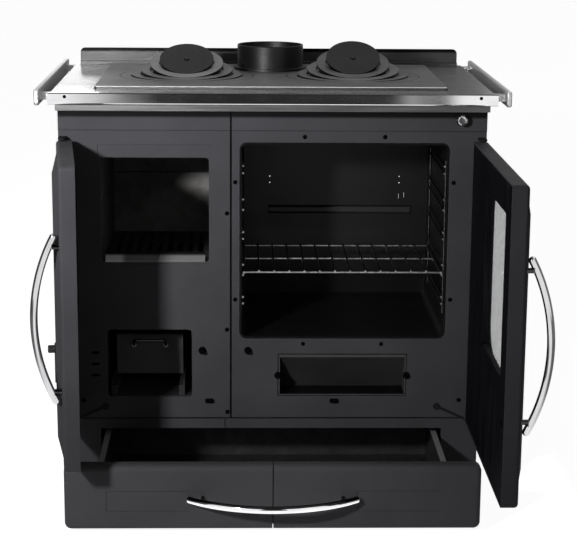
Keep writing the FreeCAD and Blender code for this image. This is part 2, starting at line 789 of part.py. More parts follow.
def make_firebricks():
    """Two courses of slabs along the sides and the rear of the fire."""
    left, right = firebox_span()
    course, joint, front_gap = 152, 2, 6
    front = PLATE_BACK + front_gap
    side_depth = FIRE_REAR - FIRE_WALL - front
    bottom = FIRE_FLOOR + FIRE_WALL
    bricks = []
    for row in range(2):
        z = bottom + row * (course + joint)
        bricks.append(block(f"brick_left_{row}", left, front, z, BRICK, side_depth, course))
        bricks.append(block(f"brick_right_{row}", right - BRICK, front, z, BRICK, side_depth, course))
        rear_width = right - left - BRICK * 2
        rear_y = FIRE_REAR - FIRE_WALL - BRICK
        bricks.append(block(f"brick_rear_{row}", left + BRICK, rear_y, z, rear_width, BRICK, course))
    keep(group("firebricks", bricks), "firebricks")


def make_fire_grate():
    """Cast grate: a plate with a row of long slots."""
    thick, slot_count, slot_width, slot_corner = 18, 9, 11, 5
    side_gap, front_gap, corner = 2, 14, 6
    rim, end_rim = 14, 24
    left, front = d.fire_left + side_gap, PLATE_BACK + front_gap
    width, depth = d.fire_width - side_gap * 2, 362
    pitch = (width - rim * 2 - slot_width) / (slot_count - 1)
    body = new_body("fire_grate")
    sketch = new_sketch(body, "XY_Plane")
    add_round_rectangle(sketch, left, front, width, depth, corner)
    pad(body, sketch, thick)
    sketch = new_sketch(body, "XY_Plane", thick)
    slot_length = depth - end_rim * 2
    add_round_rectangle(sketch, left + rim, front + end_rim, slot_width, slot_length, slot_corner)
    slots = pocket(body, sketch, thick)
    repeat(body, slots, "H_Axis", pitch * (slot_count - 1), slot_count)
    place(body, up=FIRE_FLOOR + FIRE_WALL)
    keep(body, "fire_grate")


def make_firebox_sill():
    """Sloped steel lip along the bottom of the firebox opening that keeps the logs in."""
    reach, rise, thick = 17, 15, 4
    body = new_body("firebox_sill")
    sketch = new_sketch(body, "YZ_Plane")
    add_polygon(sketch, [
        (FRONT, d.fire_bottom),
        (FRONT + reach, d.fire_bottom + rise),
        (FRONT + reach, d.fire_bottom + rise + thick),
        (FRONT, d.fire_bottom + thick),
    ])
    pad(body, sketch, d.fire_width - d.fire_corner * 2)
    place(body, across=d.fire_left + d.fire_corner)
    keep(body, "firebox_sill")


PAN_SLIDE_GAP = 0.5


def make_ash_chamber():
    """Box below the grate, open to the front and the top, with two rails for the ash pan."""
    wall, side_gap, depth = 3, 8, 394
    rail_reach, rail_gap, guide, guide_rise, rail_front = 6, 3, 3, 10, 4
    bottom = d.ash_bottom + ASH_FLOOR_RISE - wall
    height = FIRE_FLOOR - bottom
    width = d.ash_width + side_gap * 2
    outside = block("ash_chamber_outside", d.ash_left - side_gap, PLATE_BACK, bottom, width, depth, height)
    inside = block(
        "ash_chamber_inside", d.ash_left - side_gap + wall, PLATE_BACK, bottom + wall,
        width - wall * 2, depth - wall, height,
    )
    pieces = [cut("ash_chamber_shell", outside, inside)]
    floor = bottom + wall
    rail_y = PLATE_BACK + rail_front
    rail_depth = depth - wall - rail_front
    rail_height = d.pan_bottom - PAN_SLIDE_GAP - floor
    for side, way in SIDES.items():
        pan_side = d.pan_left if way < 0 else d.pan_left + d.pan_width
        outer = pan_side + (rail_gap + guide) * way
        inner = pan_side - rail_reach * way
        left = outer if way < 0 else inner
        guide_left = outer if way < 0 else outer - guide
        width = as_size(rail_reach + rail_gap + guide)
        pieces.append(block(f"pan_rail_{side}", left, rail_y, floor, width, rail_depth, rail_height))
        guide_height = rail_height + guide_rise
        pieces.append(block(f"pan_guide_{side}", guide_left, rail_y, floor, guide, rail_depth, guide_height))
    keep(fuse("ash_chamber", pieces), "ash_chamber")


PAN_FACE = FRONT + d.pan_setback
PAN_BAND_RAISE = 3


def make_ash_pan():
    """Sheet pan with a taller front and a raised band along the top of it."""
    wall, front_thick, side_step = 2, 3, 3
    tray_height, tray_depth = 73, 287
    bottom, left = d.pan_bottom, d.pan_left
    tray_y = PAN_FACE + front_thick
    tray_left, tray_width = left + side_step, d.pan_width - side_step * 2
    outside = block("ash_tray_outside", tray_left, tray_y, bottom, tray_width, tray_depth, tray_height)
    inside = block(
        "ash_tray_inside", tray_left + wall, tray_y, bottom + wall,
        tray_width - wall * 2, tray_depth - wall, tray_height,
    )
    tray = cut("ash_tray", outside, inside)
    face = block("ash_pan_face", left, PAN_FACE, bottom, d.pan_width, front_thick, d.pan_height)
    band = block(
        "ash_pan_band", left, PAN_FACE - PAN_BAND_RAISE, bottom + d.pan_band,
        d.pan_width, PAN_BAND_RAISE, d.pan_height - d.pan_band,
    )
    keep(fuse("ash_pan", [tray, face, band]), "ash_pan")


def make_ash_pan_pull():
    """Bent wire pull that stands up and out from two round bosses on the ash pan."""
    width, reach, bend, wire = 68, 22, 9, 3
    slant, boss_radius, boss_length, root, rise = 40, 5, 5, 3, 12
    body = new_body("ash_pull_bow")
    path = new_sketch(body, "XY_Plane")
    half = width / 2
    corner_y = bend - reach
    path.addGeometry(Part.LineSegment(Vector(-half, 0, 0), Vector(-half, corner_y, 0)), False)
    left_bend = Part.Circle(Vector(bend - half, corner_y, 0), Vector(0, 0, 1), bend)
    path.addGeometry(Part.ArcOfCircle(left_bend, math.pi, 1.5 * math.pi), False)
    path.addGeometry(Part.LineSegment(Vector(bend - half, -reach, 0), Vector(half - bend, -reach, 0)), False)
    right_bend = Part.Circle(Vector(half - bend, corner_y, 0), Vector(0, 0, 1), bend)
    path.addGeometry(Part.ArcOfCircle(right_bend, 1.5 * math.pi, 2 * math.pi), False)
    path.addGeometry(Part.LineSegment(Vector(half, corner_y, 0), Vector(half, 0, 0)), False)
    profile = new_sketch(body, "XZ_Plane")
    add_circle(profile, -half, 0, wire)
    document.recompute()
    pipe = body.newObject("PartDesign::AdditivePipe", "ash_pull_wire")
    pipe.Profile = profile
    pipe.Spine = path
    document.recompute()
    middle = d.pan_left + d.pan_width / 2
    face, up = PAN_FACE - PAN_BAND_RAISE, d.pan_bottom + d.pan_band + rise
    body.Placement = Placement(Vector(), Rotation(Vector(1, 0, 0), -slant))
    place(body, middle, face - root, up)
    bosses = []
    for side, way in SIDES.items():
        across = middle + half * way
        boss_name, boss_y = f"ash_pull_boss_{side}", face - boss_length
        bosses.append(rod(boss_name, "y", across, boss_y, up, boss_radius, boss_length))
    keep(fuse("ash_pan_pull", [body] + bosses), "ash_pan_pull")


# Oven

OVEN_WALL = 3


def make_oven_box():
    """Enamelled oven liner with a pressed bead across its rear wall."""
    body = new_body("oven_box")
    sketch = new_sketch(body, "XZ_Plane", -PLATE_BACK)
    add_round_rectangle(
        sketch, d.oven_left - OVEN_WALL, d.oven_bottom - OVEN_WALL,
        d.oven_width + OVEN_WALL * 2, d.oven_height + OVEN_WALL * 2, d.oven_corner + OVEN_WALL,
    )
    pad(body, sketch, d.oven_depth, backwards=True)
    sketch = new_sketch(body, "XZ_Plane", -PLATE_BACK)
    add_round_rectangle(sketch, d.oven_left, d.oven_bottom, d.oven_width, d.oven_height, d.oven_corner)
    pocket(body, sketch, d.oven_depth - OVEN_WALL)
    sketch = new_sketch(body, "XZ_Plane", OVEN_WALL - PLATE_BACK - d.oven_depth)
    bead_left, bead_right, bead_rise, bead_height, bead_raise = 66, 38, 188, as_size(18), 6
    bead_round = 5.5
    bead_width = d.oven_width - bead_left - bead_right
    add_rectangle(sketch, d.oven_left + bead_left, d.oven_bottom + bead_rise, bead_width, bead_height)
    pad(body, sketch, bead_raise)
    crest = PLATE_BACK + d.oven_depth - OVEN_WALL - bead_raise
    fillet(body, bead_round, lambda edge: runs_along(edge, "x") and at_level(edge, "y", crest))
    keep(body, "oven_box")


def make_oven_opening_seal():
    """Rope seal that lines the edge of the oven opening and stands out to meet the door."""
    fit, width, proud, edge_round = 0.3, 5, 3, 1.5
    body = new_body("oven_opening_seal")
    sketch = new_sketch(body, "XZ_Plane", -PLATE_BACK)
    for inset in (fit, fit + width):
        add_round_rectangle(
            sketch, d.oven_left + inset, d.oven_bottom + inset,
            d.oven_width - inset * 2, d.oven_height - inset * 2, d.oven_corner - inset,
        )
    pad(body, sketch, d.plate + proud)
    front = FRONT - proud
    fillet(body, edge_round, lambda edge: at_level(edge, "y", front))
    keep(body, "oven_opening_seal")


RACK_LEVELS = ((708, 693), (638, 616), (569, 555), (500, 478), (431, 417))
RACK_FRONT = -262
GUIDE_LENGTH = 314


def make_oven_side_racks():
    """Wire ladders on both oven walls: five levels of paired guides on two uprights."""
    guide_gap, upright_gap, upright_inset = 7, 4, 8
    tail, head, stud = 22, 10, 1.8
    stud_from_foot, stud_from_head = 6, 4
    ladders = []
    for side, way in SIDES.items():
        wall = d.oven_left if way < 0 else d.oven_left + d.oven_width
        guide_x, upright_x = wall - guide_gap * way, wall - upright_gap * way
        wires = []
        for level, pair in enumerate(RACK_LEVELS):
            for number, z in enumerate(pair):
                name = f"guide_{side}_{level}_{number}"
                wires.append(rod(name, "y", guide_x, RACK_FRONT, z, d.wire, GUIDE_LENGTH))
        low, high = RACK_LEVELS[-1][-1] - tail, RACK_LEVELS[0][0] + head
        rear = RACK_FRONT + GUIDE_LENGTH
        for number, y in enumerate((RACK_FRONT + upright_inset, rear - upright_inset)):
            wires.append(rod(f"upright_{side}_{number}", "z", upright_x, y, low, d.wire, high - low))
            for foot, z in enumerate((low + stud_from_foot, high - stud_from_head)):
                start = wall if way < 0 else wall - upright_gap
                wires.append(rod(f"stud_{side}_{number}_{foot}", "x", start, y, z, stud, upright_gap))
        ladders.append(fuse(f"ladder_{side}", wires))
    keep(group("oven_side_racks", ladders), "oven_side_racks")


def make_oven_rack():
    """Wire shelf: two runners, three cross bars and twelve wires welded on top of them."""
    runner, bar, wire, weld = 2.8, 2.4, 2, 1.2
    runner_gap, bar_inset, guide_gap = 9.4, 6, 5
    depth, wire_count, margin = 286, 12, 31
    z = RACK_LEVELS[3][1] + guide_gap
    left = d.oven_left + runner_gap
    right = d.oven_left + d.oven_width - runner_gap
    pieces = [rod(f"rack_runner_{x.text}", "y", x, RACK_FRONT, z, runner, depth) for x in (left, right)]
    for number in range(3):
        y = RACK_FRONT + bar_inset + (depth - bar_inset * 2) * number / 2
        pieces.append(rod(f"rack_bar_{number}", "x", left, y, z, bar, right - left))
    pitch = (right - left - margin * 2) / (wire_count - 1)
    wire_z = z + bar + wire - weld
    for number in range(wire_count):
        x = left + margin + pitch * number
        pieces.append(rod(f"rack_wire_{number}", "y", x, RACK_FRONT, wire_z, wire, depth))
    keep(fuse("oven_rack", pieces), "oven_rack")


def make_smoke_baffle():
    """Plate over the oven that leads the smoke, with the opening that the damper closes."""
    body = new_body("smoke_baffle")
    sketch = new_sketch(body, "XY_Plane")
    left = firebox_span()[1] + FIRE_WALL
    opening, corner, level = 100, 8, 788
    depth = BACK_INSIDE - d.sheet * 2 - PLATE_BACK
    add_rectangle(sketch, left, PLATE_BACK + d.sheet, SIDE_INSIDE - left, depth)
    add_round_rectangle(sketch, -opening / 2, d.flue_y - opening / 2, opening, opening, corner)
    pad(body, sketch, OVEN_WALL)
    place(body, up=level)
    keep(body, "smoke_baffle")


DAMPER_GATE_Z = 791.5


def make_damper():
    """Knob on the fascia, its rod, and the gate that slides over the baffle's opening."""
    fascia = FRONT - d.fascia_raise
    knob_gap, knob_round = 2, 2.4
    leaf, leaf_thick, link_width, arm_behind_flue = 120, 3, 10, 20
    neck, grip, nose = 5, 12, 8
    neck_length, grip_start, grip_end, knob_length = 4, 9, 15, 20
    knob_back = fascia - knob_gap
    body = new_body("damper_knob")
    sketch = new_sketch(body, "XY_Plane")
    add_polygon(sketch, [
        (0, 0),
        (neck, 0),
        (neck, -neck_length),
        (grip, -grip_start),
        (grip, -grip_end),
        (nose, -knob_length),
        (0, -knob_length),
    ])
    revolve(body, sketch, "V_Axis")
    fillet(body, knob_round, lambda edge: edge.Curve.TypeId == "Part::GeomCircle"
           and edge.Curve.Radius > (neck + nose) / 2)
    place(body, d.damper_x, knob_back, d.damper_z)
    keep(body, "damper_knob")
    arm_y = d.flue_y + arm_behind_flue
    shaft_length = arm_y - knob_back + d.damper_rod
    shaft = rod("damper_shaft", "y", d.damper_x, knob_back, d.damper_z, d.damper_rod, shaft_length)
    arm = rod("damper_arm", "x", 0, arm_y, d.damper_z, d.damper_rod, d.damper_x)
    half_link = link_width / 2
    link_height = d.damper_z - DAMPER_GATE_Z
    link = block(
        "damper_link", -half_link, arm_y - half_link, DAMPER_GATE_Z,
        link_width, link_width, link_height,
    )
    gate = block("damper_gate_leaf", -leaf / 2, d.flue_y - leaf / 2, DAMPER_GATE_Z, leaf, leaf, leaf_thick)
    keep(fuse("damper_gate", [shaft, arm, link, gate]), "damper_gate")


def make_soot_cover():
    """Cover of the cleaning opening: a sloping hollow for the fingers, closed at both ends."""
    fit, end_wall, proud = 1.5, 3, 0.3
    brow, brow_step, foot_thick, back_thick = 6.5, 3, 3, 9
    head_radius, head_tip, head_height = 7.5, 6.5, 4.5
    shank, shank_length, shank_root, notch_extra = 3, 12, 1, 2
    front = FRONT - proud
    left, bottom = d.soot_left + fit, d.soot_bottom + fit
    width, top = d.soot_width - fit * 2, d.soot_bottom + d.soot_height - fit
    rear = FRONT + d.soot_recess
    run = rear - front - brow_step
    fall = top - brow - bottom - foot_thick
    back_top = rear + back_thick - run * (top - bottom) / fall
    body = new_body("soot_cover")
    sketch = new_sketch(body, "YZ_Plane", left)
    add_polygon(sketch, [
        (front, top),
        (front, top - brow),
        (front + brow_step, top - brow),
        (rear, bottom + foot_thick),
        (front, bottom + foot_thick),
        (front, bottom),
        (rear + back_thick, bottom),
        (back_top, top),
    ])
    pad(body, sketch, width)
    for start in (left, left + width - end_wall):
        sketch = new_sketch(body, "YZ_Plane", start)
        add_polygon(sketch, [(front, top), (front, bottom), (rear + back_thick, bottom), (back_top, top)])
        pad(body, sketch, end_wall)
    sketch = new_sketch(body, "XZ_Plane", -front)
    for edge in (d.soot_left, d.soot_left + d.soot_width):
        add_circle(sketch, edge, d.soot_screw_z, d.soot_notch)
    pocket(body, sketch, shank_length + notch_extra)
    keep(body, "soot_cover")
    screws = []
    for number, edge in enumerate((d.soot_left, d.soot_left + d.soot_width)):
        head = cone(f"thumb_head_{number}", edge, front, d.soot_screw_z, head_radius, head_tip, head_height)
        stem_y = front - shank_root
        stem = rod(f"thumb_shank_{number}", "y", edge, stem_y, d.soot_screw_z, shank, shank_length)
        screws.append(fuse(f"thumbscrew_{number}", [head, stem]))
    keep(group("soot_thumbscrews", screws), "soot_thumbscrews")


# Cooktop

def make_cooktop_subframe():
    """Set-in frame between the body and the cooktop, a shadow gap under the chrome rail."""
    width, rim = 882, 18
    front, depth = -292, 577
    body = new_body("cooktop_subframe")
    sketch = new_sketch(body, "XY_Plane")
    add_rectangle(sketch, as_size(-width / 2), as_size(front), as_size(width), as_size(depth))
    inner_width, inner_depth = width - rim * 2, depth - rim * 2
    add_rectangle(
        sketch, as_size(-inner_width / 2), as_size(front + rim), as_size(inner_width), as_size(inner_depth),
    )
    pad(body, sketch, d.top_height - d.top_thick - d.body_top)
    place(body, up=d.body_top)
    keep(body, "cooktop_subframe")


def make_cooktop_frame():
    """Steel frame of the cooktop with a ledge for the hot plate."""
    fit, corner = 2, 8
    body = new_body("cooktop_frame")
    depth = d.top_back - d.top_front
    ledge = (0, d.ledge_width, d.top_ledge)
    rim = (d.top_ledge, -fit, d.top_thick - d.top_ledge)
    for level, inset, height in (ledge, rim):
        sketch = new_sketch(body, "XY_Plane", level)
        add_round_rectangle(sketch, -d.top_width / 2, d.top_front, d.top_width, depth, corner)
        inset = as_size(inset)
        add_rectangle(
            sketch, d.hot_middle - d.hot_width / 2 + inset, d.hot_front + inset,
            d.hot_width - inset * 2, d.hot_depth - inset * 2,
        )
        pad(body, sketch, height)
    place(body, up=d.top_height - d.top_thick)
    keep(body, "cooktop_frame")


def make_hot_plate():
    """Cast plate with two stepped burner holes and the flue hole."""
    bottom = d.top_height - d.top_thick + d.top_ledge
    thick = d.hot_height - bottom
    seat = d.ring_seat + d.ring_lift
    corner, edge_round = 6, 1.5
    body = new_body("hot_plate")
    lower = (0, d.burner_hole - d.ring_step, thick - seat)
    upper = (thick - seat, d.burner_hole, seat)
    for level, radius, height in (lower, upper):
        sketch = new_sketch(body, "XY_Plane", level)
        left = d.hot_middle - d.hot_width / 2
        add_round_rectangle(sketch, left, d.hot_front, d.hot_width, d.hot_depth, corner)
        for way in SIDES.values():
            add_circle(sketch, d.hot_middle + d.burner_x * way, d.burner_y, radius)
        add_circle(sketch, 0, d.flue_y, d.flue_inside)
        pad(body, sketch, height)
    front, back = d.hot_front, d.hot_front + d.hot_depth
    fillet(body, edge_round, lambda edge: at_level(edge, "z", thick)
           and (at_level(edge, "y", front) or at_level(edge, "y", back)))
    place(body, up=bottom)
    keep(body, "hot_plate")


RING_NAMES = ("outer_ring", "large_ring", "middle_ring", "small_ring", "lid")


def make_burners():
    """Two burners, each a lid in four stepped rings, every one tilted up on its front edge."""
    boss_rise = 2
    fans = {
        "left": (as_size(0), d.left_large_fan, d.left_middle_fan, d.left_small_fan, d.left_lid_fan),
        "right": (as_size(0), d.right_large_fan, d.right_middle_fan, d.right_small_fan, d.right_lid_fan),
    }
    for side, way in SIDES.items():
        middle = d.hot_middle + d.burner_x * way
        spot = Vector(middle.value, d.burner_y.value, d.hot_height.value)
        pose = Placement(spot, Rotation())
        outer = d.burner_hole - d.ring_gap
        for rank, name in enumerate(RING_NAMES):
            edge = Vector(0, -outer.value, 0)
            tilt = Rotation(Vector(1, 0, 0), fans[side][rank].value)
            pose = pose * Placement(edge, tilt) * Placement(-edge, Rotation())
            body = new_body(f"{side}_{name}")
            sketch = new_sketch(body, "XZ_Plane")
            low = outer - d.ring_step
            rim = [(low, -d.ring_thick), (low, -d.ring_seat), (outer, -d.ring_seat), (outer, 0)]
            if name == "lid":
                boss = [(d.lid_boss, 0), (d.lid_boss, boss_rise), (0, boss_rise), (0, -d.ring_thick)]
                add_polygon(sketch, rim + boss)
            else:
                inner = outer - (d.ring_width if rank else d.outer_ring_width)
                seat = -d.ring_seat - d.ring_lift
                step = inner - d.ring_step
                add_polygon(sketch, rim + [(inner, 0), (inner, seat), (step, seat), (step, -d.ring_thick)])
                outer = inner - d.ring_gap
            revolve(body, sketch, "V_Axis")
            body.Placement = pose
            keep(body, f"{side}_{name}")


def make_front_rail():
    """Chrome rail along the front edge of the cooktop."""
    edge_round = 3
    body = new_body("front_rail")
    sketch = new_sketch(body, "YZ_Plane", -d.rail_half)
    add_rectangle(sketch, d.top_front - d.rail_depth, d.rail_bottom, d.rail_depth, d.rail_height)
    pad(body, sketch, d.rail_half * 2)
    face = d.top_front - d.rail_depth
    fillet(body, edge_round, lambda edge: runs_along(edge, "x") and at_level(edge, "y", face))
    keep(body, "front_rail")


def make_side_rails():
    """Chrome flat bars beside the cooktop, with rounded ends and edges."""
    corner, edge_round = 6, 3
    for side, way in SIDES.items():
        body = new_body(f"{side}_side_rail")
        left = d.bar_inside if way > 0 else -d.bar_inside - d.bar_thick
        sketch = new_sketch(body, "YZ_Plane", left)
        add_round_rectangle(sketch, d.bar_front, d.bar_bottom, d.bar_length, d.bar_height, corner)
        pad(body, sketch, d.bar_thick)
        outer_faces = (left, left + d.bar_thick)
        fillet(body, edge_round, lambda edge: any(at_level(edge, "x", face) for face in outer_faces))
        keep(body, f"{side}_side_rail")


def make_rail_fixings():
    """Stand-offs of the side rails and the screws of the front rail."""
    size, height, low = 20, 14, 846
    standoff_y = {"front": -290, "rear": 252}
    screw_x, screw_z, screw_radius, screw_tip, screw_rise = 420, 854, 3.5, 2.6, 1.4
    pieces = []
    for side, way in SIDES.items():
        gap = d.bar_inside - d.top_width / 2
        left = d.top_width / 2 if way > 0 else -d.bar_inside
        for end, y in standoff_y.items():
            pieces.append(block(f"standoff_{side}_{end}", left, y, low, gap, size, height))
        rail_face = d.top_front - d.rail_depth
        screw_spot = (screw_x * way, rail_face, screw_z)
        pieces.append(cone(f"rail_screw_{side}", *screw_spot, screw_radius, screw_tip, screw_rise))
    keep(group("rail_fixings", pieces), "rail_fixings")


def make_backsplash():
    """Low upstand along the rear edge of the cooktop, with a foot and round corners."""
    width, front, thick, height = 880, 283, 8, 38
    foot_depth, foot_height, corner = 8, 8, 10
    body = new_body("backsplash")
    sketch = new_sketch(body, "YZ_Plane", -width / 2)
    top = d.top_height + height
    add_polygon(sketch, [
        (as_size(front - foot_depth), d.top_height),
        (as_size(front + thick), d.top_height),
        (as_size(front + thick), top),
        (as_size(front), top),
        (as_size(front), d.top_height + foot_height),
        (as_size(front - foot_depth), d.top_height + foot_height),
    ])
    pad(body, sketch, width)
    fillet(body, corner, lambda edge: runs_along(edge, "y") and at_level(edge, "z", top))
    keep(body, "backsplash")


def make_flue_collar():
    """Turned collar on the hot plate that the flue pipe is pushed over."""
    foot, lead = 6, 2
    top = d.flue_top - d.hot_height
    body = new_body("flue_collar")
    sketch = new_sketch(body, "XZ_Plane")
    add_polygon(sketch, [
        (d.flue_inside, 0),
        (d.flue_flange, 0),
        (d.flue_flange, foot),
        (d.flue_outside, foot),
        (d.flue_outside, top - lead),
        (d.flue_outside - lead / 2, top),
        (d.flue_inside, top),
    ])
    revolve(body, sketch, "V_Axis")
    place(body, 0, d.flue_y, d.hot_height)
    keep(body, "flue_collar")


# Doors, modelled shut about their hinge axes and then turned open

DOORS = {
    "left": SimpleNamespace(
        low=-d.hinge_end, high=d.left_reach, hinge=-d.hinge_x, turn=-d.left_open,
        free=d.left_reach, inward=-1, catch=CATCH_X["left"],
    ),
    "right": SimpleNamespace(
        low=-d.right_reach, high=d.hinge_end, hinge=d.hinge_x, turn=d.right_open,
        free=-d.right_reach, inward=1, catch=CATCH_X["right"],
    ),
}


def open_door(item, side):
    """Hang a door's piece on its hinge axis and turn it as far as the door stands open."""
    door = DOORS[side]
    spot = Vector(door.hinge.value, d.hinge_y.value, 0)
    item.Placement = Placement(spot, Rotation(Vector(0, 0, 1), door.turn.value))
    place(item, door.hinge, d.hinge_y)
    item.setExpression("Placement.Rotation.Angle", door.turn.text)


def door_field(door, inset, end=None):
    """Left, bottom, width and height of the door's outline, drawn in at the sides and the ends."""
    inset = as_size(inset)
    end = inset if end is None else end
    width = door.high - door.low - inset * 2
    return door.low + inset, d.door_bottom + end, width, d.door_height - end * 2


def sight_field(overlap):
    """Opening in the right door's liner, widened by an overlap."""
    overlap = as_size(overlap)
    left, bottom = d.sight_left - overlap, d.sight_bottom - overlap
    return left, bottom, d.sight_width + overlap * 2, d.sight_height + overlap * 2


def make_door_panel(side):
    """Hollow outer casting: rounded rim, raised field with sloping sides and a sunk middle."""
    air_seat = 1
    door = DOORS[side]
    body = new_body(f"{side}_door_panel")
    sketch = new_sketch(body, "XZ_Plane", -d.door_inner)
    add_round_rectangle(sketch, *door_field(door, 0), d.door_corner)
    pad(body, sketch, d.door_thick)
    fillet(body, d.door_round, lambda edge: at_level(edge, "y", DOOR_OUTER))
    foot = new_sketch(body, "XZ_Plane", -DOOR_OUTER)
    add_rectangle(foot, *door_field(door, d.pillow_foot))
    crest = new_sketch(body, "XZ_Plane", -DOOR_CREST)
    add_rectangle(crest, *door_field(door, d.pillow_inset, d.pillow_end))
    loft = body.newObject("PartDesign::AdditiveLoft", f"{side}_door_pillow")
    loft.Profile = foot
    loft.Sections = [crest]
    loft.Ruled = True
    document.recompute()
    sketch = new_sketch(body, "XZ_Plane", -DOOR_CREST)
    add_rectangle(sketch, *door_field(door, d.field_inset, d.field_end))
    pocket(body, sketch, d.field_depth)
    sketch = new_sketch(body, "XZ_Plane", -d.door_inner)
    add_rectangle(sketch, *door_field(door, d.door_wall))
    pocket(body, sketch, d.door_thick - d.door_skin, backwards=True)
    for level in (d.door_bottom + d.door_wall, d.door_bottom + d.door_height):
        sketch = new_sketch(body, "XY_Plane", level)
        add_circle(sketch, 0, 0, d.hinge_pin + d.running_gap)
        pocket(body, sketch, d.door_wall)
    front = new_sketch(body, "XZ_Plane", -DOOR_CREST)
    if side == "right":
        window = (d.window_left, d.window_bottom, d.window_width, d.window_height)
        add_round_rectangle(front, *window, d.window_corner)
    else:
        add_circle(front, d.air_x, d.air_z, d.hinge_pin + d.running_gap)
        add_air_holes(front, d.air_hole - air_seat)
    pocket(body, front, d.door_thick - d.door_inner + d.pillow_height)
    open_door(body, side)
    keep(body, f"{side}_door_panel")


def add_air_holes(sketch, radius):
    """Three air holes round the pivot of the regulator, the middle one at the bottom."""
    bottom, spacing = -90, 100
    for step in (-1, 0, 1):
        angle = math.radians(bottom + spacing * step)
        across = d.air_x + d.air_hole_at * math.cos(angle)
        add_circle(sketch, across, d.air_z + d.air_hole_at * math.sin(angle), radius)


def make_door_liner(side):
    """Inner panel of a door with the hole that the catch stud enters."""
    catch_hole = 10
    door = DOORS[side]
    body = new_body(f"{side}_door_liner")
    sketch = new_sketch(body, "XZ_Plane", -LINER_FACE)
    add_rectangle(sketch, *door_field(door, d.door_wall))
    add_circle(sketch, door.catch - door.hinge, d.catch_z, catch_hole)
    if side == "right":
        add_round_rectangle(sketch, *sight_field(0), d.sight_corner)
    pad(body, sketch, d.liner_thick)
    open_door(body, side)
    keep(body, f"{side}_door_liner")


def make_left_door_gasket():
    """Rope seal on the left liner that closes round the firebox opening."""
    width, side_gap, proud = 8, 12, 5.5
    corner, edge_round = 16, 3
    body = new_body("left_door_gasket")
    sketch = new_sketch(body, "XZ_Plane", -LINER_FACE)
    left = d.fire_left - side_gap - width + d.hinge_x
    bottom = d.fire_bottom - side_gap - width
    loop_width = d.fire_width + (side_gap + width) * 2
    loop_height = d.fire_height + d.fire_field_top + side_gap + width * 2
    for inset in (0, width):
        add_round_rectangle(
            sketch, left + inset, bottom + inset,
            loop_width - inset * 2, loop_height - inset * 2, corner - inset,
        )
    pad(body, sketch, proud, backwards=True)
    crest = LINER_FACE + proud
    fillet(body, edge_round, lambda edge: at_level(edge, "y", crest))
    open_door(body, "left")
    keep(body, "left_door_gasket")


def make_oven_window():
    """Glass pane behind the right door's liner."""
    overlap = 10
    body = new_body("oven_window")
    sketch = new_sketch(body, "XZ_Plane", d.liner_thick - LINER_FACE)
    add_rectangle(sketch, *sight_field(overlap))
    pad(body, sketch, d.glass)
    open_door(body, "right")
    keep(body, "oven_window")


def bow_radius(chord, sag):
    """Radius of an arc from its chord and its rise."""
    return chord * chord / (sag * 8) + sag / 2


def bow_handle(name, upright, across, face, up, chord, sag):
    """Bowed round bar with rounded ends on two posts, upright or level."""
    radius = bow_radius(chord, sag)
    axis_length = 50
    end_y = face - d.handle_bar - d.handle_gap
    belly_y = end_y - sag
    axis_y = belly_y + radius
    body = new_body(name)
    sketch = new_sketch(body, "XY_Plane", up) if upright else new_sketch(body, "YZ_Plane", across)
    if upright:
        add_circle(sketch, across, belly_y, d.handle_bar)
        start, end = (0, axis_y), (axis_length, axis_y)
    else:
        add_circle(sketch, belly_y, up, d.handle_bar)
        start, end = (axis_y, 0), (axis_y, axis_length)
    points = [Vector(as_size(a).value, as_size(b).value, 0) for a, b in (start, end)]
    line = sketch.addGeometry(Part.LineSegment(*points), True)
    hold_point(sketch, line, 1, *start)
    hold_point(sketch, line, 2, *end)
    half_chord = chord / 2 / radius
    sweep = Size(f"(2 * asin({half_chord.text}))", math.degrees(2 * math.asin(half_chord.value)))
    revolve(body, sketch, "Axis0", sweep)
    bar, end_round = d.handle_bar.value, 5
    fillet(body, end_round, lambda edge: edge.Curve.TypeId == "Part::GeomCircle"
           and abs(edge.Curve.Radius - bar) < 0.01)
    sketch = new_sketch(body, "XZ_Plane", -face)
    for way in SIDES.values():
        step = d.handle_post_at * way
        spot = (across, up + step) if upright else (across + step, up)
        add_circle(sketch, *spot, d.handle_post)
    post_rise = radius.value - math.sqrt(radius.value ** 2 - d.handle_post_at.value ** 2)
    pad(body, sketch, d.handle_bar + d.handle_gap + sag - post_rise)
    return body


def make_door_handles():
    """Bowed handles on the flat rims of the doors, close to their free edges."""
    for side, door in DOORS.items():
        across = door.free + d.handle_edge * door.inward
        handle = bow_handle(
            f"{side}_door_handle", True, across, DOOR_OUTER, d.handle_z, d.handle_chord, d.handle_sag,
        )
        open_door(handle, side)
        keep(handle, f"{side}_door_handle")


def make_air_regulator():
    """Turning disc on the left door with three air holes, a pivot and a finger knob."""
    gap, thick = 0.4, 5
    knob_at, knob_radius, knob_height, knob_round = 28, 8, 13, 3
    pin_length = 12
    body = new_body("air_regulator")
    back = DOOR_FIELD - gap
    sketch = new_sketch(body, "XZ_Plane", -back)
    add_circle(sketch, d.air_x, d.air_z, d.air_disc)
    add_air_holes(sketch, d.air_hole)
    pad(body, sketch, thick)
    sketch = new_sketch(body, "XZ_Plane", thick - back)
    add_circle(sketch, d.air_x, d.air_z + knob_at, knob_radius)
    pad(body, sketch, knob_height)
    knob_face = back - thick - knob_height
    fillet(body, knob_round, lambda edge: at_level(edge, "y", knob_face))
    sketch = new_sketch(body, "XZ_Plane", -back)
    add_circle(sketch, d.air_x, d.air_z, d.hinge_pin)
    pad(body, sketch, pin_length, backwards=True)
    open_door(body, "left")
    keep(body, "air_regulator")


# Drawer, modelled shut and then pulled out

